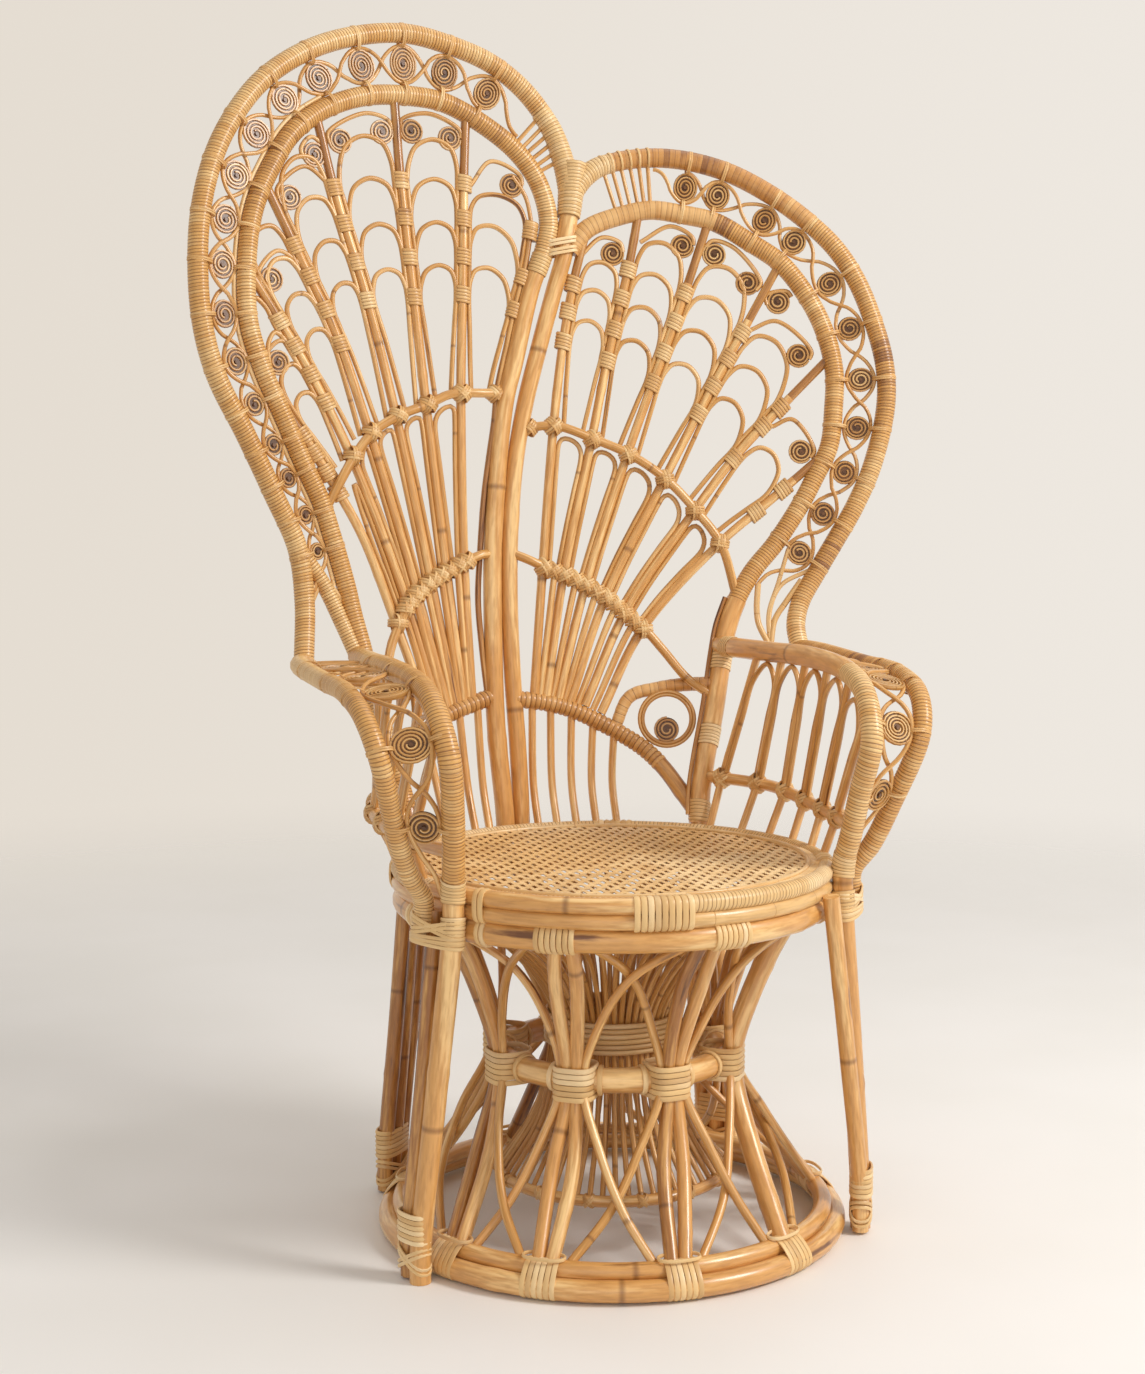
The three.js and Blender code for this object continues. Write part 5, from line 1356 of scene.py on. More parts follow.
@dataclass
class InnerCone:
    """The waisted inner cone of fine reeds on its foot ring, with its cane band."""

    waist_radius: float = 72.0
    waist_height: float = 240.0
    foot_radius: float = 135.0
    foot_height: float = 68.0
    band_height: float = 36.0
    reed: float = 3.3
    ring: float = 6.8
    count: int = 56
    row_cane: float = 3.1

    def build(self) -> None:
        """Makes the reeds, the foot ring and the band."""
        bundle = Bundle("inner_cone_reeds", 41)
        for i in range(self.count):
            turn = WAIST_START_TURN + APRON_LEAD_TURN + FULL_TURN * (i + 0.5) / self.count
            foot = (self.foot_radius, turn, self.foot_height)
            waist = (self.waist_radius, turn, self.waist_height)
            apron = (CHAIR.apron_line, turn, CHAIR.apron_level)
            reach = self.band_height / 2 + self.reed
            line = Line([
                polar(*foot), between(waist, foot, CONE_SHIN_SHARES),
                polar(self.waist_radius, turn, self.waist_height - reach),
                polar(self.waist_radius, turn, self.waist_height + reach),
                between(waist, apron, CONE_SHOULDER_SHARES), polar(*apron),
            ])
            bundle.pole(line, 0, line.length, self.reed, Look.REED, 6, 14.0, 190.0)
            ring_place = polar(self.foot_radius, turn, self.foot_height)
            if i % 4 == 0:
                outward, around = outward_at(turn), np.cross(UP, outward_at(turn))
                bundle.cross_knot(ring_place, UP, around, outward, self.ring * 1.3, self.ring * 1.2, 1.4)
        ring = arc_line(self.foot_radius, self.foot_height, 20, 20 + FULL_TURN)
        bundle.pole(ring, 0, ring.length, self.ring)
        bundle.make("rattan_honey", "inner_cone")
        band = Bundle("inner_cone_band_rows", 42)
        rows = round(self.band_height / (2 * self.row_cane))
        for row, shift in enumerate(row_shifts(rows, 2 * self.row_cane)):
            line = arc_line(self.waist_radius + self.reed + self.row_cane, self.waist_height + shift,
                            10 * row, 10 * row + FULL_TURN)
            marks = np.full(len(line.track), row + 0.5)
            band.strand(line.track, self.row_cane, Look.ROWS, 6, marks=marks)
        band.make("cane_pale", "inner_cone_band")


def leg_points(side: int, turns: Numbers) -> list[Array]:
    """Places of a leg from the seat's underside straight to the floor."""
    seat_turn, floor_turn = turns
    floor = CHAIR.floor_leg_radius
    return [
        polar(CHAIR.leg_ring, side * seat_turn, CHAIR.seat_underside),
        polar(mix(CHAIR.leg_ring, floor, 0.5), side * mix(seat_turn, floor_turn, 0.5),
              CHAIR.seat_height / 2),
        polar(floor, side * floor_turn, CHAIR.leg_lashing_level / 2),
        polar(floor, side * floor_turn, CHAIR.fit_gap),
    ]


@dataclass
class LegPoles:
    """The poles that stand beside the legs, with the lashings near the floor."""

    side_pole: float = 9.9
    lashing_height: float = 36.0
    lashing_thickness: float = 3.0
    rows: int = 6
    row_cane: float = 2.9

    def build(self) -> None:
        """Makes the poles of all four legs."""
        for side in SideName:
            self._leg(f"{side.word}_front_leg_poles", side.value, FRONT_LEG_TURNS,
                      FRONT_POLE_SHARES[side.value], 51 + side.value)
            self._leg(f"{side.word}_back_leg_poles", side.value, BACK_LEG_TURNS,
                      BACK_POLE_SHARES, 55 + side.value)

    def _leg(self, node: str, side: int, turns: Numbers,
             poles: Table, seed: int) -> None:
        """One leg's poles and their lashings."""
        bundle = Bundle(node.replace("leg_poles", "leg_side_poles"), seed)
        seat_turn, floor_turn = turns
        pace = math.degrees(CHAIR.arm_rail + CHAIR.leg_pole + CHAIR.fit_gap)
        ring = CHAIR.seat_radius + CHAIR.leg_pole + CHAIR.fit_gap
        floor = CHAIR.floor_leg_radius
        for at_seat, at_floor in poles:
            top = side * seat_turn + at_seat * pace / ring
            foot = side * floor_turn + at_floor * pace / floor
            line = Line([
                polar(ring, top, CHAIR.lower_hoop_level),
                polar(mix(ring, floor, 0.5), mix(top, foot, 0.5), CHAIR.seat_height / 2),
                polar(floor, foot, CHAIR.leg_lashing_level - self.lashing_height / 2),
                polar(floor, foot, self.lashing_thickness),
            ])
            bundle.pole(line, 0, line.length, self.side_pole, Look.DARK_POLE if side < 0 else Look.POLE)
        offset = sum(at_floor for _, at_floor in poles) / 2
        middle = side * floor_turn + offset * pace / floor
        wide = CHAIR.arm_rail + len(poles) * CHAIR.leg_pole + self.lashing_thickness / 2
        deep = CHAIR.arm_rail + self.lashing_thickness / 2
        outward = outward_at(middle)
        around = np.cross(UP, outward)
        for shift in row_shifts(self.rows, 2 * self.row_cane):
            bundle.loop(polar(floor, middle, CHAIR.leg_lashing_level + shift), around * wide,
                        outward * deep, self.row_cane, steps=20, square=0.75)
        low = CHAIR.leg_lashing_level - self.lashing_height
        for sign in (-1, 1):
            for shift in (-1, 1):
                bundle.loop(polar(floor, middle, low + shift * self.row_cane),
                            around * wide + UP * sign * self.lashing_height / 3, outward * deep,
                            self.row_cane * 0.8, steps=18, square=0.75)
        bundle.make("rattan_dark", node)


class BackLines:
    """The centre lines of the back's hoops and posts."""

    def __init__(self) -> None:
        """Lays the lines through their shares."""
        self.outer = {-1: Line(back_points(OUTER_LEFT_SHARES)), 1: Line(back_points(OUTER_RIGHT_SHARES))}
        self.inner = {
            -1: Line([*back_points(INNER_LEFT_SHARES), *leg_points(-1, BACK_LEG_TURNS)]),
            1: Line([*back_points(INNER_RIGHT_SHARES), *leg_points(1, BACK_LEG_TURNS)]),
        }
        self.post = Line(back_points(POST_SHARES))
        self.brace = Line(back_points(FORK_BRACE_SHARES))
        self.crown = Line(back_points(CROWN_SHARES))


@dataclass
class BackHoops:
    """The hoops and posts of the back, wrapped where the real ones are."""

    hoop: float = 12.7
    post: float = 11.2
    bare: float = 12.3
    wide_post: float = 13.4
    side_reed: float = 3.2
    pitch: float = 4.0
    post_lashing_share: float = 0.7
    wide_pitch: float = 7.5
    row: float = 4.4
    row_rise: float = 1.2
    joint_share: float = 0.55
    crown: tuple = (19.0, 15.5)
    crown_arm: tuple = (13.2, 15.5)
    crown_share: float = 0.62
    crown_arm_share: float = 0.2
    post_rows: tuple = (-3.2, -2.1, -0.4, 0.7)

    def build(self, lines: BackLines) -> None:
        """Makes the four hoops, the posts, the brace and the joint of the lobes."""
        self._outer(lines)
        self._inner_left(lines)
        self._inner_right(lines)
        post = Bundle("centre_post_pole", 64)
        post.pole(lines.post, 0, lines.post.length, self.post, sides=14, node_gap=420)
        post.make("rattan_honey", "centre_post")
        brace = Bundle("left_fork_brace_cane", 65)
        brace.wrap(lines.brace, 0, lines.brace.length, CHAIR.centre_post + 1, self.pitch)
        brace.make("cane_pale", "left_fork_brace")
        self._crown(lines)

    def _outer(self, lines: BackLines) -> None:
        """The outer hoops: finely wrapped, with wider strips at the start of the right one."""
        left = Bundle("outer_hoop_left_cane", 61)
        line = lines.outer[-1]
        left.wrap(line, 0, line.length, self.hoop, self.pitch)
        left.make("cane_pale", "outer_hoop_left")
        right = Bundle("outer_hoop_right_cane", 62)
        line = lines.outer[1]
        fine = line.nearest(back_point(OUTER_RIGHT_SHARES[8]))
        right.wrap(line, 0, fine, self.hoop, self.wide_pitch, Look.WIDE_WRAP, 0.15)
        right.wrap(line, fine, line.length, self.hoop, self.pitch)
        right.make("cane_pale", "outer_hoop_right")

    def _inner_left(self, lines: BackLines) -> None:
        """The left inner hoop: a bare post, a wrapped arch and a bare back leg."""
        bundle = Bundle("inner_hoop_left_cane", 63)
        line = lines.inner[-1]
        joint = (line.nearest(back_point(INNER_LEFT_SHARES[7])) * (1 - self.joint_share)
                 + line.nearest(back_point(INNER_LEFT_SHARES[8])) * self.joint_share)
        leg = line.nearest(back_point(INNER_LEFT_SHARES[-2]))
        bundle.pole(line, 0, joint + self.pitch, self.bare, sides=14, node_gap=330)
        bundle.wrap(line, joint, leg, self.hoop, self.pitch)
        bundle.wrap(line, joint - 2 * self.row, joint + 4 * self.row, self.hoop + self.row_rise, self.row,
                    Look.ROWS, 0.6)
        bundle.pole(line, leg - self.pitch, line.length, CHAIR.back_hoop, Look.DARK_POLE, 12)
        bundle.make("rattan_honey", "inner_hoop_left")

    def _inner_right(self, lines: BackLines) -> None:
        """The right inner hoop: a wrapped arch, then a bare post with lashings and a bare leg."""
        bundle = Bundle("inner_hoop_right_cane", 66)
        line = lines.inner[1]
        fine = line.nearest(back_point(INNER_RIGHT_SHARES[6]))
        bare = line.nearest(back_point(INNER_RIGHT_SHARES[18]))
        seat = line.nearest(back_point(INNER_RIGHT_SHARES[-1]))
        bundle.wrap(line, 0, fine, self.hoop, self.wide_pitch, Look.WIDE_WRAP, 0.15)
        bundle.wrap(line, fine, bare, self.hoop, self.pitch)
        bundle.pole(line, bare - self.pitch, seat, self.wide_post, sides=14, node_gap=330)
        bundle.pole(line, seat - self.pitch, line.length, CHAIR.back_hoop, sides=12)
        inward = -np.array([1.0, 0.0, 0.0])
        places = np.linspace(bare, seat - self.row, 9)
        beside = [self._beside(line, distance, inward) for distance in places]
        bundle.strand(Line(beside).track[::4], self.side_reed, Look.DARK_POLE, 6)
        for share, rows in ((20, 7), (21.5, 6), (23.6, 6)):
            low, high = (line.nearest(back_point(INNER_RIGHT_SHARES[i]))
                         for i in (math.floor(share), math.ceil(share)))
            middle = mix(low, high, share % 1)
            half = rows * self.row / 2
            bundle.wrap(line, middle - half, middle + half, self.wide_post + 1.4, self.row,
                        Look.ROWS, 0.5)
        bundle.make("rattan_honey", "inner_hoop_right")

    def _beside(self, line: Line, distance: float, way: Array) -> Array:
        """A place beside the wide post."""
        along = line.way(distance)
        return line.at(distance) + unit(way - along * way.dot(along)) * (self.wide_post + self.side_reed)

    def _crown(self, lines: BackLines) -> None:
        """The thick tapering joint of the two lobes, the bare pole under it and the posts' lashing."""
        bundle = Bundle("crown_lashing_cane", 67)
        line = lines.crown
        end = line.length * self.crown_share
        bundle.wrap(line, 0, end, self.crown, self.row, Look.ROWS, 0.6)
        bundle.pole(line, end - self.row, line.length, self.bare, sides=14)
        for shares in (OUTER_LEFT_SHARES[-4:], OUTER_RIGHT_SHARES[:4][::-1]):
            arm = Line(back_points(shares))
            bundle.wrap(arm, arm.length * self.crown_arm_share, arm.length, self.crown_arm, self.row,
                        Look.ROWS, 0.6)
        middle = lines.post.at(lines.post.nearest(back_point(POST_SHARES[2])))
        left = lines.inner[-1].at(lines.inner[-1].nearest(middle))
        right = lines.inner[1].at(self.hoop)
        across = (right - left) / 2 + unit(right - left) * self.hoop
        across *= self.post_lashing_share
        face = back_normal(POST_SHARES[2]) * (self.hoop + 2)
        aside = unit(np.cross(across, face))
        for row in self.post_rows:
            slant = aside * self.row * row
            bundle.loop((left + right) / 2 + slant, across + aside * self.row, face, self.row / 2,
                        steps=24, square=0.7)
        bundle.make("cane_pale", "crown_lashing")


@dataclass
class Borders:
    """The scrollwork between the outer and the inner hoop of each lobe."""

    hoop: float = 12.7
    short_reed: float = 2.7
    short_count: int = 6
    short_cane: float = 1.6
    trim_reed: float = 2.9

    def build(self, lines: BackLines) -> None:
        """Makes both borders."""
        for side in (-1, 1):
            word = SideName(side).word
            bundle = Bundle(f"{word}_border_reeds", 71 + side)
            pair = RailPair(lines.outer[side], lines.inner[side], self.hoop)
            scrollwork = Scrollwork(along_most=19.0 if side < 0 else 17.0)
            scrollwork.build(bundle, pair, BORDER_ROSETTE_SHARES[side])
            self._short_reeds(bundle, side, lines)
            self._fork(bundle, side)
            if side < 0:
                self._trim(bundle, lines.inner[-1])
            bundle.make("cane_pale", f"{word}_border_scrollwork")

    def _short_reeds(self, bundle: Bundle, side: int, lines: BackLines) -> None:
        """The short reeds that fill the border next to the joint."""
        outer, inner = lines.outer[side], lines.inner[side]
        for share in np.linspace(*SHORT_REED_SHARES[side], self.short_count):
            start = outer.share(share)
            end = inner.at(inner.nearest(start))
            reed = Line([start, end], smooth=False)
            bundle.strand(reed.part(0, reed.length, 20.0), self.short_reed, Look.REED, 6)
            along = outer.way(outer.nearest(start))
            towards = unit(end - start)
            if side > 0:
                around = self.hoop + 0.6
                bundle.loop(start, towards * around, np.cross(along, towards) * around,
                            self.short_cane, Look.ROWS, 16)

    def _fork(self, bundle: Bundle, side: int) -> None:
        """Reeds that run down from the last rosette and meet on the arm."""
        for index, shares in enumerate(FORK_SHARES[side]):
            reed = Line(back_points(shares))
            radius = self.short_reed * (1.5 if index > 1 else 1.1)
            bundle.strand(reed.track[::3], radius, Look.SEAT, 8)

    def _trim(self, bundle: Bundle, inner: Line) -> None:
        """A straight pale reed along the outer side of the left lobe's inner hoop."""
        start = inner.nearest(back_point(INNER_LEFT_SHARES[16]))
        end = inner.nearest(back_point(INNER_LEFT_SHARES[27]))
        points = []
        for distance in np.linspace(start, end, 24):
            along = inner.way(distance)
            normal = back_normal([0, 1])
            away = unit(np.cross(along, normal))
            points.append(inner.at(distance) - away * (self.hoop + self.trim_reed * 0.8) - normal * 3)
        bundle.strand(Line(points).track[::4], self.trim_reed, Look.SEAT, 6)


@dataclass
class Fan:
    """One lobe's fan: spokes, scallops, rosettes, bands and the reeds down to the seat."""

    side: int
    rows: int = 5
    row: float = 4.3
    binding_width: float = 11.4
    binding_depth: float = 0.66
    spoke: float = 6.2
    dark_share: float = 0.86
    scallop: float = 3.3
    leg_spread: float = 5.0
    rosette: float = 17.0
    band: float = 6.0
    side_reed: float = 4.0
    lower_band: float = 11.5
    lower_pitch: float = 7.0
    foot_reed: float = 5.0
    between_reed: float = 4.4
    knot_reach: float = 12.5
    knot_depth: float = 12.5
    knot_cane: float = 1.7

    def __post_init__(self) -> None:
        """Lays the lines of the spokes and the bands."""
        left = self.side < 0
        self.word = SideName(self.side).word
        self.table = LEFT_SPOKE_SHARES if left else RIGHT_SPOKE_SHARES
        self.bands = LEFT_BAND_SHARES if left else RIGHT_BAND_SHARES
        self.feet = LEFT_FOOT_REED_SHARES if left else RIGHT_FOOT_REED_SHARES
        self.spokes = [Line(back_points(shares)) for shares in self.table]
        self.side_line = Line(back_points(SIDE_REED_SHARES[::-1]))
        lift = CHAIR.spoke + CHAIR.band + CHAIR.pass_gap
        self.lifted = {
            name: Line([back_point(share, 0 if i in (0, len(shares) - 1) else lift)
                        for i, share in enumerate(shares)])
            for name, shares in self.bands.items() if name != "lower"
        }
        self.lower = Line(back_points(self.bands["lower"]))

    def build(self) -> None:
        """Makes the spokes, then the three bands."""
        for index, spoke in enumerate(self.spokes):
            bundle = Bundle(f"{self.word}_spoke_{index + 1}_reeds", 80 + 10 * self.side + index)
            self._spoke(bundle, index, spoke)
            if index + 1 < len(self.spokes):
                self._scallops(bundle, index, self.spokes[index + 1], self.spoke)
            if index == 0 and self.side < 0:
                self._side_reed(bundle)
                self._scallops(bundle, index, self.side_line, self.side_reed)
            if index == 0:
                for shares, ends in CURL_SHARES[self.side]:
                    self._curl(bundle, shares, ends)
            slot = "rattan_honey" if index % 2 else "rattan_dark"
            bundle.make(slot, f"{self.word}_spoke_{index + 1}")
        self._upper_band()
        self._middle_band()
        self._lower_band()

    def _bindings(self, index: int) -> list[float]:
        """How far along a spoke its bindings are."""
        return [share * self.spokes[index].length for share in BINDING_SHARES[self.side][index]]

    def _bind(self, bundle: Bundle, line: Line, middle: float, width: float, normal: Array) -> None:
        """Rows of cane round a line and the reeds that lie beside it."""
        half = self.rows * self.row / 2
        aside = np.cross(line.way(middle), normal)
        bundle.wrap(line, max(middle - half, 0), min(middle + half, line.length), width, self.row,
                    Look.TAN_ROWS, 0.8, 12, aside, self.binding_depth)

    def _spoke(self, bundle: Bundle, index: int, spoke: Line) -> None:
        """The pole, its dark top and its bindings."""
        dark = self.dark_share * spoke.length
        bundle.pole(spoke, 0, dark + self.row, self.spoke, Look.POLE, 10, 9.0, 240.0, 0.1)
        bundle.pole(spoke, dark, spoke.length, self.spoke - 0.2, Look.DARK_POLE, 10)
        normal = back_normal(self.table[index][-1])
        for middle in self._bindings(index):
            self._bind(bundle, spoke, middle, self.binding_width, normal)

    def _side_reed(self, bundle: Bundle) -> None:
        """The thin bent reed beside the left lobe's post, tied to it."""
        line = self.side_line
        bundle.pole(line, 0, line.length, self.side_reed, Look.DARK_POLE, 8, 9.0)
        normal = back_normal(SIDE_REED_SHARES[3])
        for middle in self._bindings(0):
            place = line.nearest(self.spokes[0].at(middle))
            self._bind(bundle, line, place, self.side_reed + 2 * self.scallop, normal)

    def _scallops(self, bundle: Bundle, index: int, other: Line, other_radius: float) -> None:
        """Round arches from this spoke to the next line, with legs down to the binding below."""
        spoke = self.spokes[index]
        band = spoke.nearest(back_point(self.table[index][2]))
        bindings = self._bindings(index)
        to_spoke = other is not self.side_line
        if to_spoke:
            ties = self._bindings(index + 1)[: ARCH_COUNTS[self.side][index]]
        else:
            ties = [other.nearest(spoke.at(distance)) for distance in bindings[:-1]]
        far_band = other.nearest(spoke.at(band))
        for step, (distance, tie) in enumerate(zip(bindings, ties)):
            own = spoke.at(distance)
            landing = max(min(other.nearest(own), LAST_LANDING_SHARE * other.length), tie)
            far = other.at(landing)
            way = unit(far - own)
            reach = self.spoke + self.scallop * 0.8
            far_reach = other_radius + self.scallop * 0.8
            start, end = own + way * reach, far - way * far_reach
            high_share = ARCH_RISE_SHARE if to_spoke else SIDE_ARCH_RISE_SHARES[step]
            rise = spoke.way(distance) * high_share * np.linalg.norm(end - start)
            arch = [start + (end - start) * across + rise * high for across, high in ARCH_SHARES]
            low, far_low = (bindings[step - 1], ties[step - 1]) if step else (band, far_band)
            wides = np.linspace(0 if step else self.leg_spread, 0, 4)
            down = [self._beside(spoke, place, way, reach + wide)
                    for place, wide in zip(np.linspace(low, distance, 4), wides)]
            fall = [self._beside(other, place, -way, far_reach + wide)
                    for place, wide in zip(np.linspace(landing, far_low, 4), wides[::-1])]
            bundle.strand(Line([*down, *arch, *fall]).track[::2], self.scallop, Look.REED, 6)

    def _beside(self, line: Line, distance: float, way: Array, reach: float) -> Array:
        """A place beside a line, towards a direction."""
        distance = min(max(distance, 0), line.length)
        along = line.way(distance)
        return line.at(distance) + unit(way - along * way.dot(along)) * reach

    def _curl(self, bundle: Bundle, shares: Table, curls: Sequence[bool]) -> None:
        """A reed that arches under the hoop, and winds into a rosette where an end curls."""
        left, top, right = back_points(shares)
        normal = back_normal(shares[1])
        aside = unit(right - left)
        up = unit(np.cross(normal, aside))
        up = up if up.dot(top - left) > 0 else -up
        edge = self.rosette - self.scallop * 0.6
        points = [top]
        for middle, curled, outward in ((left, curls[0], -aside), (right, curls[1], aside)):
            if curled:
                bundle.coil(middle, outward, -up, self.rosette, edge)
                ends = [middle + outward * edge, middle + outward * edge * 0.92 + up * self.rosette * 0.7]
            else:
                ends = [middle]
            points = [*ends, *points] if middle is left else [*points, *ends[::-1]]
        bundle.strand(Line(points).track[::2], self.scallop * 0.9, Look.REED, 6)

    def _knots(self, bundle: Bundle, band: Line, row: int, lines: Sequence[Line]) -> None:
        """Criss-cross knots where a band crosses the spokes."""
        for index, line in enumerate(lines):
            share = self.table[min(index, len(self.table) - 1)][row]
            place = band.at(band.nearest(line.at(line.nearest(back_point(share)))))
            self._knot(bundle, place, line.way(line.nearest(place)), band.way(band.nearest(place)), share)

    def _knot(self, bundle: Bundle, place: Array, first: Array, second: Array,
              share: Numbers) -> None:
        """One criss-cross knot."""
        face = -back_normal(share)
        bundle.cross_knot(place - face * self.band * 0.8, first, second, face, self.knot_reach,
                          self.knot_depth, self.knot_cane, 3)

    def _upper_band(self) -> None:
        """The upper band, tied to each spoke and to the post that it starts on."""
        bundle = Bundle(f"{self.word}_band_upper_reeds", 100 + self.side)
        band = self.lifted["upper"]
        bundle.pole(band, 0, band.length, self.band, Look.REED, 10)
        self._knots(bundle, band, 2, self.spokes)
        start = self.knot_reach
        self._knot(bundle, band.at(start), UP, band.way(start), self.bands["upper"][0])
        bundle.make("cane_pale", f"{self.word}_band_upper")

    def _middle_band(self) -> None:
        """The middle band, and the reeds between the spokes, with arches under the upper band."""
        bundle = Bundle(f"{self.word}_band_middle_reeds", 104 + self.side)
        band = self.lifted["middle"]
        bundle.pole(band, 0, band.length, self.band, Look.REED, 10)
        lift = CHAIR.spoke + CHAIR.fine_reed + CHAIR.pass_gap
        halves = []
        for first, second in zip(self.table, self.table[1:]):
            shares = [[mix(a, b, 0.5) for a, b in zip(first[row], second[row])] for row in (0, 1, 2)]
            places = [back_point(share, lift if row else 0) for row, share in enumerate(shares)]
            halves.append(Line(places))
        for half in halves:
            crossing = half.nearest(band.at(band.nearest(half.share(0.5))))
            bundle.pole(half, 0, crossing, self.between_reed, Look.POLE, 8)
        for index, (first, second) in enumerate(zip(self.spokes, self.spokes[1:])):
            self._tall_arch(bundle, index, first, second)
        self._knots(bundle, band, 1, self.spokes)
        self._knots(bundle, band, 1, halves)
        bundle.make("cane_pale", f"{self.word}_band_middle")

    def _tall_arch(self, bundle: Bundle, index: int, first: Line, second: Line) -> None:
        """A long hairpin between two spokes, from the middle band to just under the upper one."""
        low, high = ([line.nearest(back_point(self.table[index + i][row]))
                      for i, line in enumerate((first, second))] for row in (1, 2))
        way = unit(second.at(high[1]) - first.at(high[0]))
        reach = self.spoke + self.scallop * 0.8
        span = np.linalg.norm(second.at(high[1]) - first.at(high[0])) - 2 * reach
        under = self.band + self.scallop
        drop = under + span * 0.5
        own = [self._beside(first, mix(low[0], high[0] - drop, share), way, reach)
               for share in HAIRPIN_SHARES]
        far = [self._beside(second, mix(low[1], high[1] - drop, share), -way, reach)
               for share in HAIRPIN_SHARES[::-1]]
        rise = first.way(high[0]) * (drop - under)
        arch = [own[-1] + (far[0] - own[-1]) * across + rise * up for across, up in ARCH_SHARES]
        bundle.strand(Line([*own, *arch, *far]).track[::3], self.scallop, Look.REED, 6)

    def _lower_band(self) -> None:
        """The thick wrapped lower band and the reeds from it to the seat."""
        bundle = Bundle(f"{self.word}_band_lower_cane", 108 + self.side)
        line = self.lower
        end = line.length * (1 if self.side < 0 else 0.72)
        bundle.wrap(line, 0, end, self.lower_band, self.lower_pitch, Look.BROWN_WRAP, 1.3)
        if self.side > 0:
            bundle.pole(line, end - 2, line.length, self.lower_band - 0.8, Look.DARK_POLE, 14)
        bend_share, bend_up = FOOT_REED_BEND_SHARES
        for on_band, on_seat in self.feet:
            x = on_band * CHAIR.back_half_width
            start = line.track[np.argmin(np.abs(line.track[:, 0] - x))]
            across = on_seat * CHAIR.back_half_width
            seat = np.array([across, math.sqrt(CHAIR.seat_line**2 - across**2), CHAIR.upper_hoop_level])
            reed = Line([start, back_point([mix(on_band, on_seat, bend_share), bend_up]), seat])
            bundle.pole(reed, 0, reed.length, self.foot_reed, Look.POLE, 8)
        bundle.make("cane_pale", f"{self.word}_band_lower")


@dataclass
class SeatScroll:
    """The ring with a rosette beside the seat, under its own short arm."""

    arm: float = 9.5
    ring: float = 36.0
    rosette: float = 17.5
    reed: float = 2.5
    strip: float = 11.0

    def build(self) -> None:
        """Makes the arm, the ring and the rosette."""
        bundle = Bundle("seat_scroll_cane", 120)
        line = Line(back_points(SCROLL_ARM_SHARES))
        bundle.wrap(line, 0, line.length, (self.arm - 1.5, self.arm), self.strip, Look.WIDE_WRAP, 0.25)
        centre = back_point(SCROLL_RING_SHARES)
        face = back_normal(SCROLL_RING_SHARES)
        across = unit(np.cross(UP, face))
        up = np.cross(face, across)
        for ring in (self.ring, self.ring - 1.8 * self.reed):
            bundle.loop(centre, across * ring, up * ring, self.reed, Look.REED, 40, 8, oval=1.0)
        low = centre + up * (self.rosette - self.ring) * 0.75
        bundle.coil(low, up, across, self.rosette)
        bundle.make("rattan_honey", "seat_scroll")


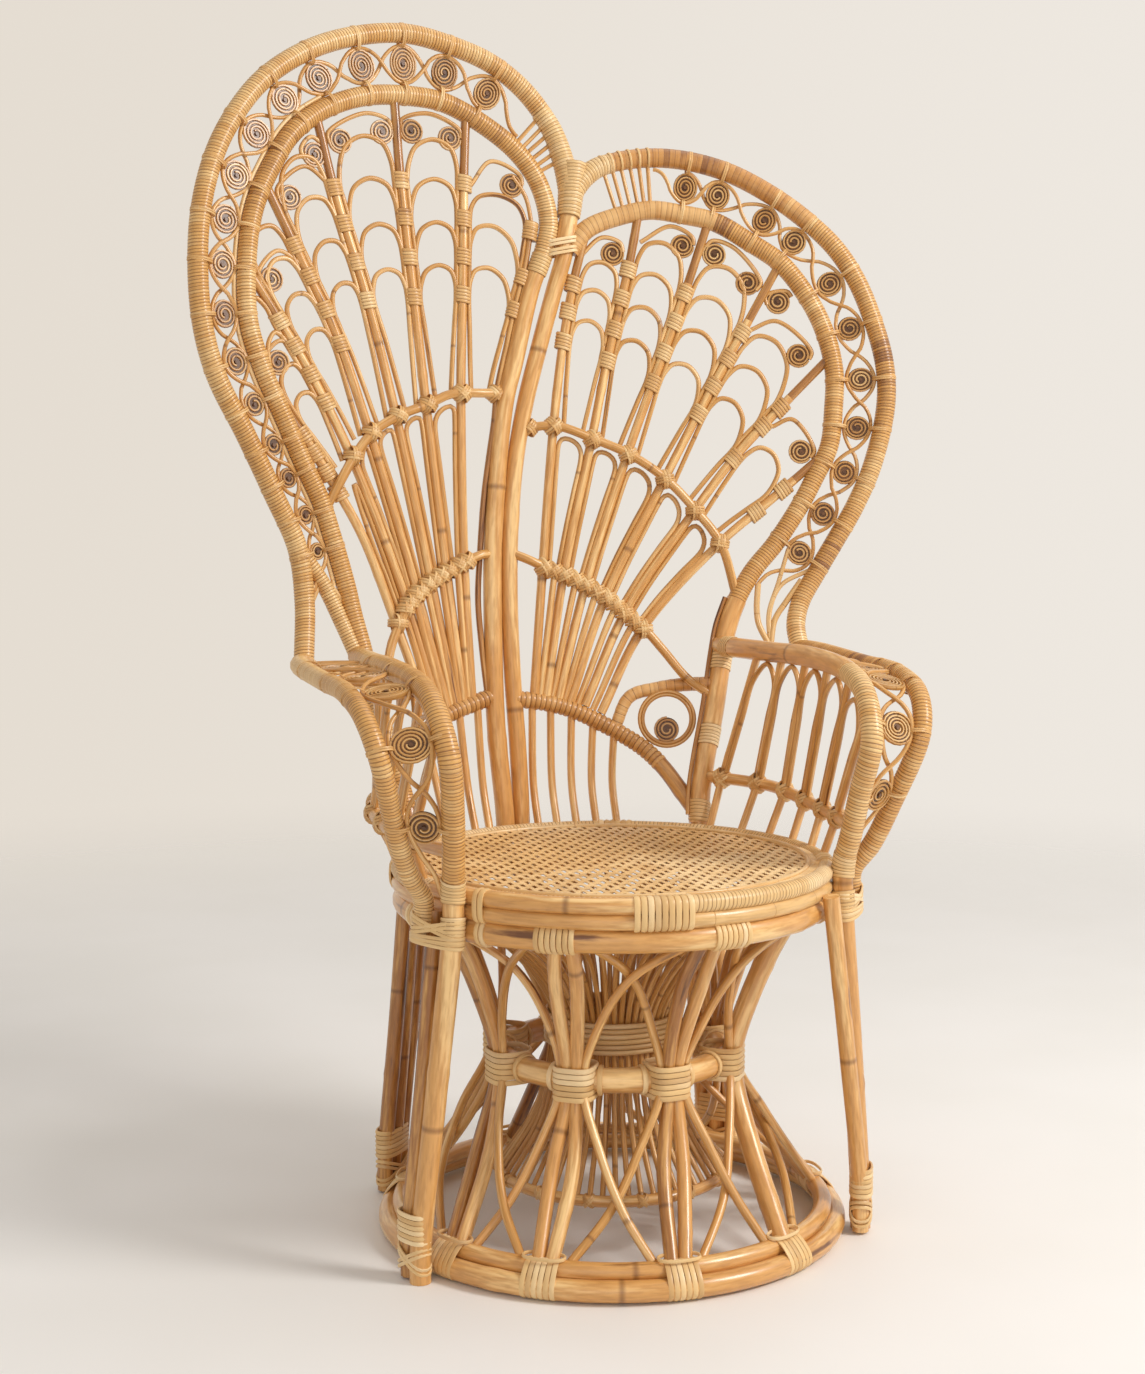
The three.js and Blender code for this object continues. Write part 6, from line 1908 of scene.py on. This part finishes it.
@dataclass
class Arm:
    """One arm: two rails, scrollwork between them, and the spindles over the seat."""

    side: int
    inner_rail: float = 13.0
    outer_rail: float = 11.6
    leg: float = 12.2
    pitch: float = 4.0
    row: float = 4.6
    spindle: float = 5.0
    hairpin: float = 3.4
    crossbar: float = 7.6
    spindle_count: int = 6
    leaf: float = 9.0
    outer_tail: float = 36.0
    lashing_cane: float = 2.2
    end_turns: tuple = ((0.9, 0.2), (-0.9, 0.2), (0.1, -0.9), (-0.1, -1.3))  # tilt and shift
    seat_tie_drop: float = 38.0

    def __post_init__(self) -> None:
        """Lays the lines of the rails and the crossbar."""
        side = self.side
        self.word = SideName(side).word
        outer = OUTER_LEFT_SHARES[0] if side < 0 else OUTER_RIGHT_SHARES[-1]
        seat_turn = side * FRONT_LEG_TURNS[0]
        self.inner = Line([
            back_point([side * ARM_START_SHARES[0], ARM_START_SHARES[1]]),
            *(arm_point(shares, side) for shares in ARM_INNER_SHARES),
            polar(CHAIR.leg_ring, seat_turn, CHAIR.seat_height),
            *leg_points(side, FRONT_LEG_TURNS),
        ])
        end = arm_point(ARM_OUTER_SHARES[-1], side)
        outer_fall = np.array([0, 1.0, -self.outer_tail])
        self.outer = Line([back_point(outer), *(arm_point(shares, side) for shares in ARM_OUTER_SHARES),
                           end + outer_fall])
        self.bar = Line([
            back_point([side * CROSSBAR_START_SHARES[0], CROSSBAR_START_SHARES[1]]),
            *(arm_point(shares, side) for shares in CROSSBAR_SHARES),
        ])

    def build(self) -> None:
        """Makes the rails, the spindles and the scrollwork."""
        self._inner_rail()
        outer = Bundle(f"{self.word}_arm_outer_rail_cane", 130 + self.side)
        outer.wrap(self.outer, 0, self.outer.length, self.outer_rail, self.pitch)
        self._end_lashing(outer)
        outer.make("cane_pale", f"{self.word}_arm_outer_rail")
        scroll = Bundle(f"{self.word}_arm_scroll_reeds", 134 + self.side)
        pair = RailPair(self.outer, self.inner, self.outer_rail)
        Scrollwork(rosette_share=1.0, along_most=21, reed=2.8).build(
            scroll, pair, ARM_ROSETTE_SHARES[self.side])
        self._leaves(scroll, pair)
        scroll.make("cane_pale", f"{self.word}_arm_scrollwork")
        self._spindles()

    def _leaves(self, bundle: Bundle, pair: RailPair) -> None:
        """Flat leaf-shaped reeds across the room between the rails near the back."""
        for share in LEAF_SHARES if self.side < 0 else LEAF_SHARES[:2]:
            middle, across, half, along, face = pair.frame(share)
            turns = np.linspace(0, math.tau, 20, endpoint=False)
            slant = unit(across + along * (0.5 if share < 0.2 else -0.5))
            aside = unit(np.cross(face, slant))
            track = (middle + np.cos(turns)[:, None] * slant * half
                     + (np.sin(turns) * np.abs(np.sin(turns)))[:, None] * aside * self.leaf)
            bundle.strand(track, 2.2, Look.REED, 6, closed=True)

    def _end_lashing(self, bundle: Bundle) -> None:
        """Crossing turns of cane that tie the outer rail's end to the leg and the seat."""
        end = self.outer.at(self.outer.length - self.outer_rail / 2)
        leg = self.inner.at(self.inner.nearest(end))
        across = leg - end
        along = unit(np.cross(across, np.cross(UP, across)))
        face = unit(np.cross(across, along))
        reach = np.linalg.norm(across) / 2 + self.outer_rail + self.lashing_cane
        for tilt, shift in self.end_turns:
            for row in (-1, 1):
                centre = (end + leg) / 2 + along * (shift * self.outer_rail + row * self.lashing_cane)
                bundle.loop(centre, unit(across + tilt * along * self.outer_rail) * reach,
                            face * (self.leg + self.lashing_cane), self.lashing_cane, steps=24,
                            square=0.8)

    def _inner_rail(self) -> None:
        """The inner rail, wrapped down to the seat, and the bare leg that it runs on into."""
        bundle = Bundle(f"{self.word}_arm_rail_cane", 138 + self.side)
        line = self.inner
        seat = line.nearest(polar(CHAIR.leg_ring, self.side * FRONT_LEG_TURNS[0], CHAIR.seat_height))
        bend = line.nearest(arm_point(ARM_INNER_SHARES[2], self.side))
        start = 0.0
        if self.side > 0:
            bundle.pole(line, 0, bend + self.pitch, self.inner_rail, Look.POLE, 14, node_gap=160)
            start = bend
        bundle.wrap(line, start, seat, self.inner_rail, self.pitch)
        bundle.pole(line, seat - self.pitch, line.length, self.leg, Look.POLE, 14)
        ties = [(seat, 6), (seat + self.seat_tie_drop, 4)]
        if self.side > 0:
            ties.append((line.nearest(back_point(ARM_FORK_SHARES)), 5))
        for place, rows in ties:
            half = rows * self.row / 2
            bundle.wrap(line, place - half, place + half, self.inner_rail + 1.2, self.row, Look.ROWS, 0.6)
        bundle.make("rattan_honey", f"{self.word}_arm_rail_and_leg")

    def _spindles(self) -> None:
        """The knotted crossbar, slanting spindles in hairpin pairs, and the feet on the seat hoop."""
        bundle = Bundle(f"{self.word}_arm_spindle_reeds", 142 + self.side)
        bundle.pole(self.bar, 0, self.bar.length, self.crossbar, Look.POLE, 12)
        tops, feet = [], []
        for i in range(self.spindle_count):
            share = i / (self.spindle_count - 1)
            top = self.inner.share(mix(*SPINDLE_TOP_SHARES, share))
            foot = self.bar.share(mix(*SPINDLE_FOOT_SHARES, share))
            tops.append(top)
            feet.append(foot)
            line = Line([top, foot], smooth=False)
            bundle.pole(line, 0, line.length, self.spindle, Look.POLE, 8)
            along = self.bar.way(self.bar.nearest(foot))
            face = unit(np.cross(along, foot - top))
            bundle.cross_knot(foot, unit(top - foot), along, face, self.crossbar * 1.7,
                              self.crossbar * 1.35, 1.9, 3)
            seat = foot * np.array([1, 1, 0])
            seat = unit(seat) * CHAIR.seat_line + UP * CHAIR.upper_hoop_level
            post = Line([foot, seat], smooth=False)
            bundle.pole(post, 0, post.length, self.spindle, Look.POLE, 8)
        for ends in zip(tops, feet, tops[1:], feet[1:]):
            self._hairpin(bundle, *ends)
        bundle.make("rattan_honey", f"{self.word}_arm_spindles")

    def _hairpin(self, bundle: Bundle, top: Array, foot: Array, next_top: Array,
                 next_foot: Array) -> None:
        """A thin reed that arches under the rail between two spindles."""
        way = unit(next_top - top)
        reach = self.spindle + self.hairpin * 0.7
        drop = self.inner_rail + self.hairpin
        rail = mix(top, next_top, 0.5)
        down = unit(foot - top)
        next_down = unit(next_foot - next_top)
        half = np.linalg.norm(next_top - top) / 2 - reach
        points = [
            mix(foot, top, 0.05) + way * reach, mix(foot, top, 0.5) + way * reach,
            top + down * (drop + half) + way * reach, rail + (down + next_down) / 2 * drop,
            next_top + next_down * (drop + half) - way * reach,
            mix(next_foot, next_top, 0.5) - way * reach, mix(next_foot, next_top, 0.05) - way * reach,
        ]
        bundle.strand(Line(points).track[::3], self.hairpin, Look.REED, 6)


@dataclass(frozen=True)
class Studio:
    """The floor, the lamps, the backdrop colour and the camera, in metres."""

    floor_reach: float = 5.0
    floor_solid: float = 1.35
    floor_fade: float = 3.4
    camera_place: tuple = (-0.855, -2.349, 0.895)
    camera_pitch: float = 0.1012
    camera_turn: float = -0.3303
    lens: float = 56.25
    floor_colour: str = "f4f2f0"
    floor_mottle: str = "f1efec"
    # painted shade: the backdrop is darker on the left, away from the key lamp
    wall_left: str = "e5ddd2"
    wall_right: str = "eee8e0"
    ambient: float = 0.56
    ambient_colour: str = "fbf6ef"
    lamp_colour: str = "fffdfa"
    lamp_aim: float = 0.66
    lamps: tuple = (
        ("key_lamp", (2.3, -2.0, 2.7), 1.2, 90.0),
        ("fill_lamp", (-1.4, -3.1, 1.2), 2.2, 11.0),
        ("top_lamp", (0.6, 0.4, 3.4), 2.2, 12.0),
    )  # name, place, size and power

    def build(self) -> None:
        """Makes the floor, the lamps, the world and the camera."""
        self.build_floor()
        self.build_world()
        for lamp in self.lamps:
            self.build_lamp(*lamp)
        self.build_camera()

    def build_floor(self) -> None:
        """A plain pale floor that fades into the backdrop's colour."""
        bpy.ops.object.select_all(action="DESELECT")
        bpy.ops.mesh.primitive_circle_add(vertices=96, radius=self.floor_reach, fill_type="NGON")
        floor = bpy.context.object
        floor.name = "studio_floor"
        material = bpy.data.materials.new("studio_floor_paint")
        material.use_nodes = True
        graph = Graph(material.node_tree)
        shader = material.node_tree.nodes["Principled BSDF"]
        output = material.node_tree.nodes["Material Output"]
        spot = graph.node("TexCoord").outputs["Object"]
        grain = graph.noise(spot, 3.0, 2.0)
        mottle = graph.ease(grain, 0.3, 0.7)
        colour = graph.blend(mottle, tint(self.floor_colour), tint(self.floor_mottle))
        graph.feed(shader.inputs["Base Color"], colour)
        shader.inputs["Roughness"].default_value = 0.55
        away = graph.node("VectorMath", {0: spot}, operation="LENGTH").outputs["Value"]
        clear = graph.node("BsdfTransparent")
        blend = graph.node("MixShader", {0: graph.ease(away, self.floor_solid, self.floor_fade),
                                         1: shader.outputs[0], 2: clear.outputs[0]})
        graph.feed(output.inputs["Surface"], blend.outputs[0])
        floor.data.materials.append(material)

    def build_world(self) -> None:
        """Plain pale light all round, and for the camera a backdrop painted darker on the left, as
        painted shade away from the key lamp.
        """
        world = bpy.data.worlds.new("studio_world")
        world.use_nodes = True
        bpy.context.scene.world = world
        graph = Graph(world.node_tree)
        ray = graph.node("LightPath")
        seen = graph.sum("MAXIMUM", ray.outputs["Is Camera Ray"], ray.outputs["Is Glossy Ray"])
        seen = graph.sum("MAXIMUM", seen, ray.outputs["Is Transmission Ray"])
        apart = graph.node("SeparateXYZ", {0: graph.node("TexCoord").outputs["Generated"]})
        # painted shade: the backdrop goes from its darker left to its lighter right
        rightness = graph.ease(apart.outputs[0], 0.05, 0.6)
        wall = graph.blend(rightness, tint(self.wall_left), tint(self.wall_right))
        light = graph.node("Background", {"Color": tint(self.ambient_colour), "Strength": self.ambient})
        show = graph.node("Background", {"Color": wall, "Strength": 1.0})
        blend = graph.node("MixShader", {0: seen, 1: light.outputs[0], 2: show.outputs[0]})
        graph.feed(world.node_tree.nodes["World Output"].inputs["Surface"], blend.outputs[0])

    def build_lamp(self, name: str, place: tuple[float, float, float], size: float, power: float) -> None:
        """A large soft lamp that looks at the chair's middle."""
        bpy.ops.object.light_add(type="AREA", location=place)
        lamp = bpy.context.object
        lamp.name = name
        lamp.data.shape = "DISK"
        lamp.data.size = size
        lamp.data.energy = power
        lamp.data.color = tint(self.lamp_colour)[:3]
        middle = np.array([0, 0, self.lamp_aim])
        away = np.array(place) - middle
        lamp.rotation_euler = (math.acos(away[2] / np.linalg.norm(away)), 0,
                               math.atan2(away[0], -away[1]))

    def build_camera(self) -> None:
        """The photograph's camera."""
        place = np.array(self.camera_place) + seat_middle()
        bpy.ops.object.camera_add(location=place, rotation=(math.pi / 2 - self.camera_pitch, 0,
                                                            self.camera_turn))
        camera = bpy.context.object
        camera.name = "photo_camera"
        camera.data.lens = self.lens
        camera.data.sensor_width = 36.0
        camera.data.sensor_fit = "AUTO"
        bpy.context.scene.camera = camera


def main() -> None:
    """Builds the sub-assemblies in order, then the studio."""
    logging.basicConfig(level=logging.INFO, format="%(name)s %(message)s")
    build_finishes()
    lines = BackLines()
    Seat().build()
    BaseHoops().build()
    Struts().build()
    InnerCone().build()
    LegPoles().build()
    BackHoops().build(lines)
    Borders().build(lines)
    for side in SideName:
        Fan(side.value).build()
        Arm(side.value).build()
    SeatScroll().build()
    Studio().build()
    bpy.context.scene.view_settings.view_transform = "Standard"


if __name__ == "__main__":
    main()
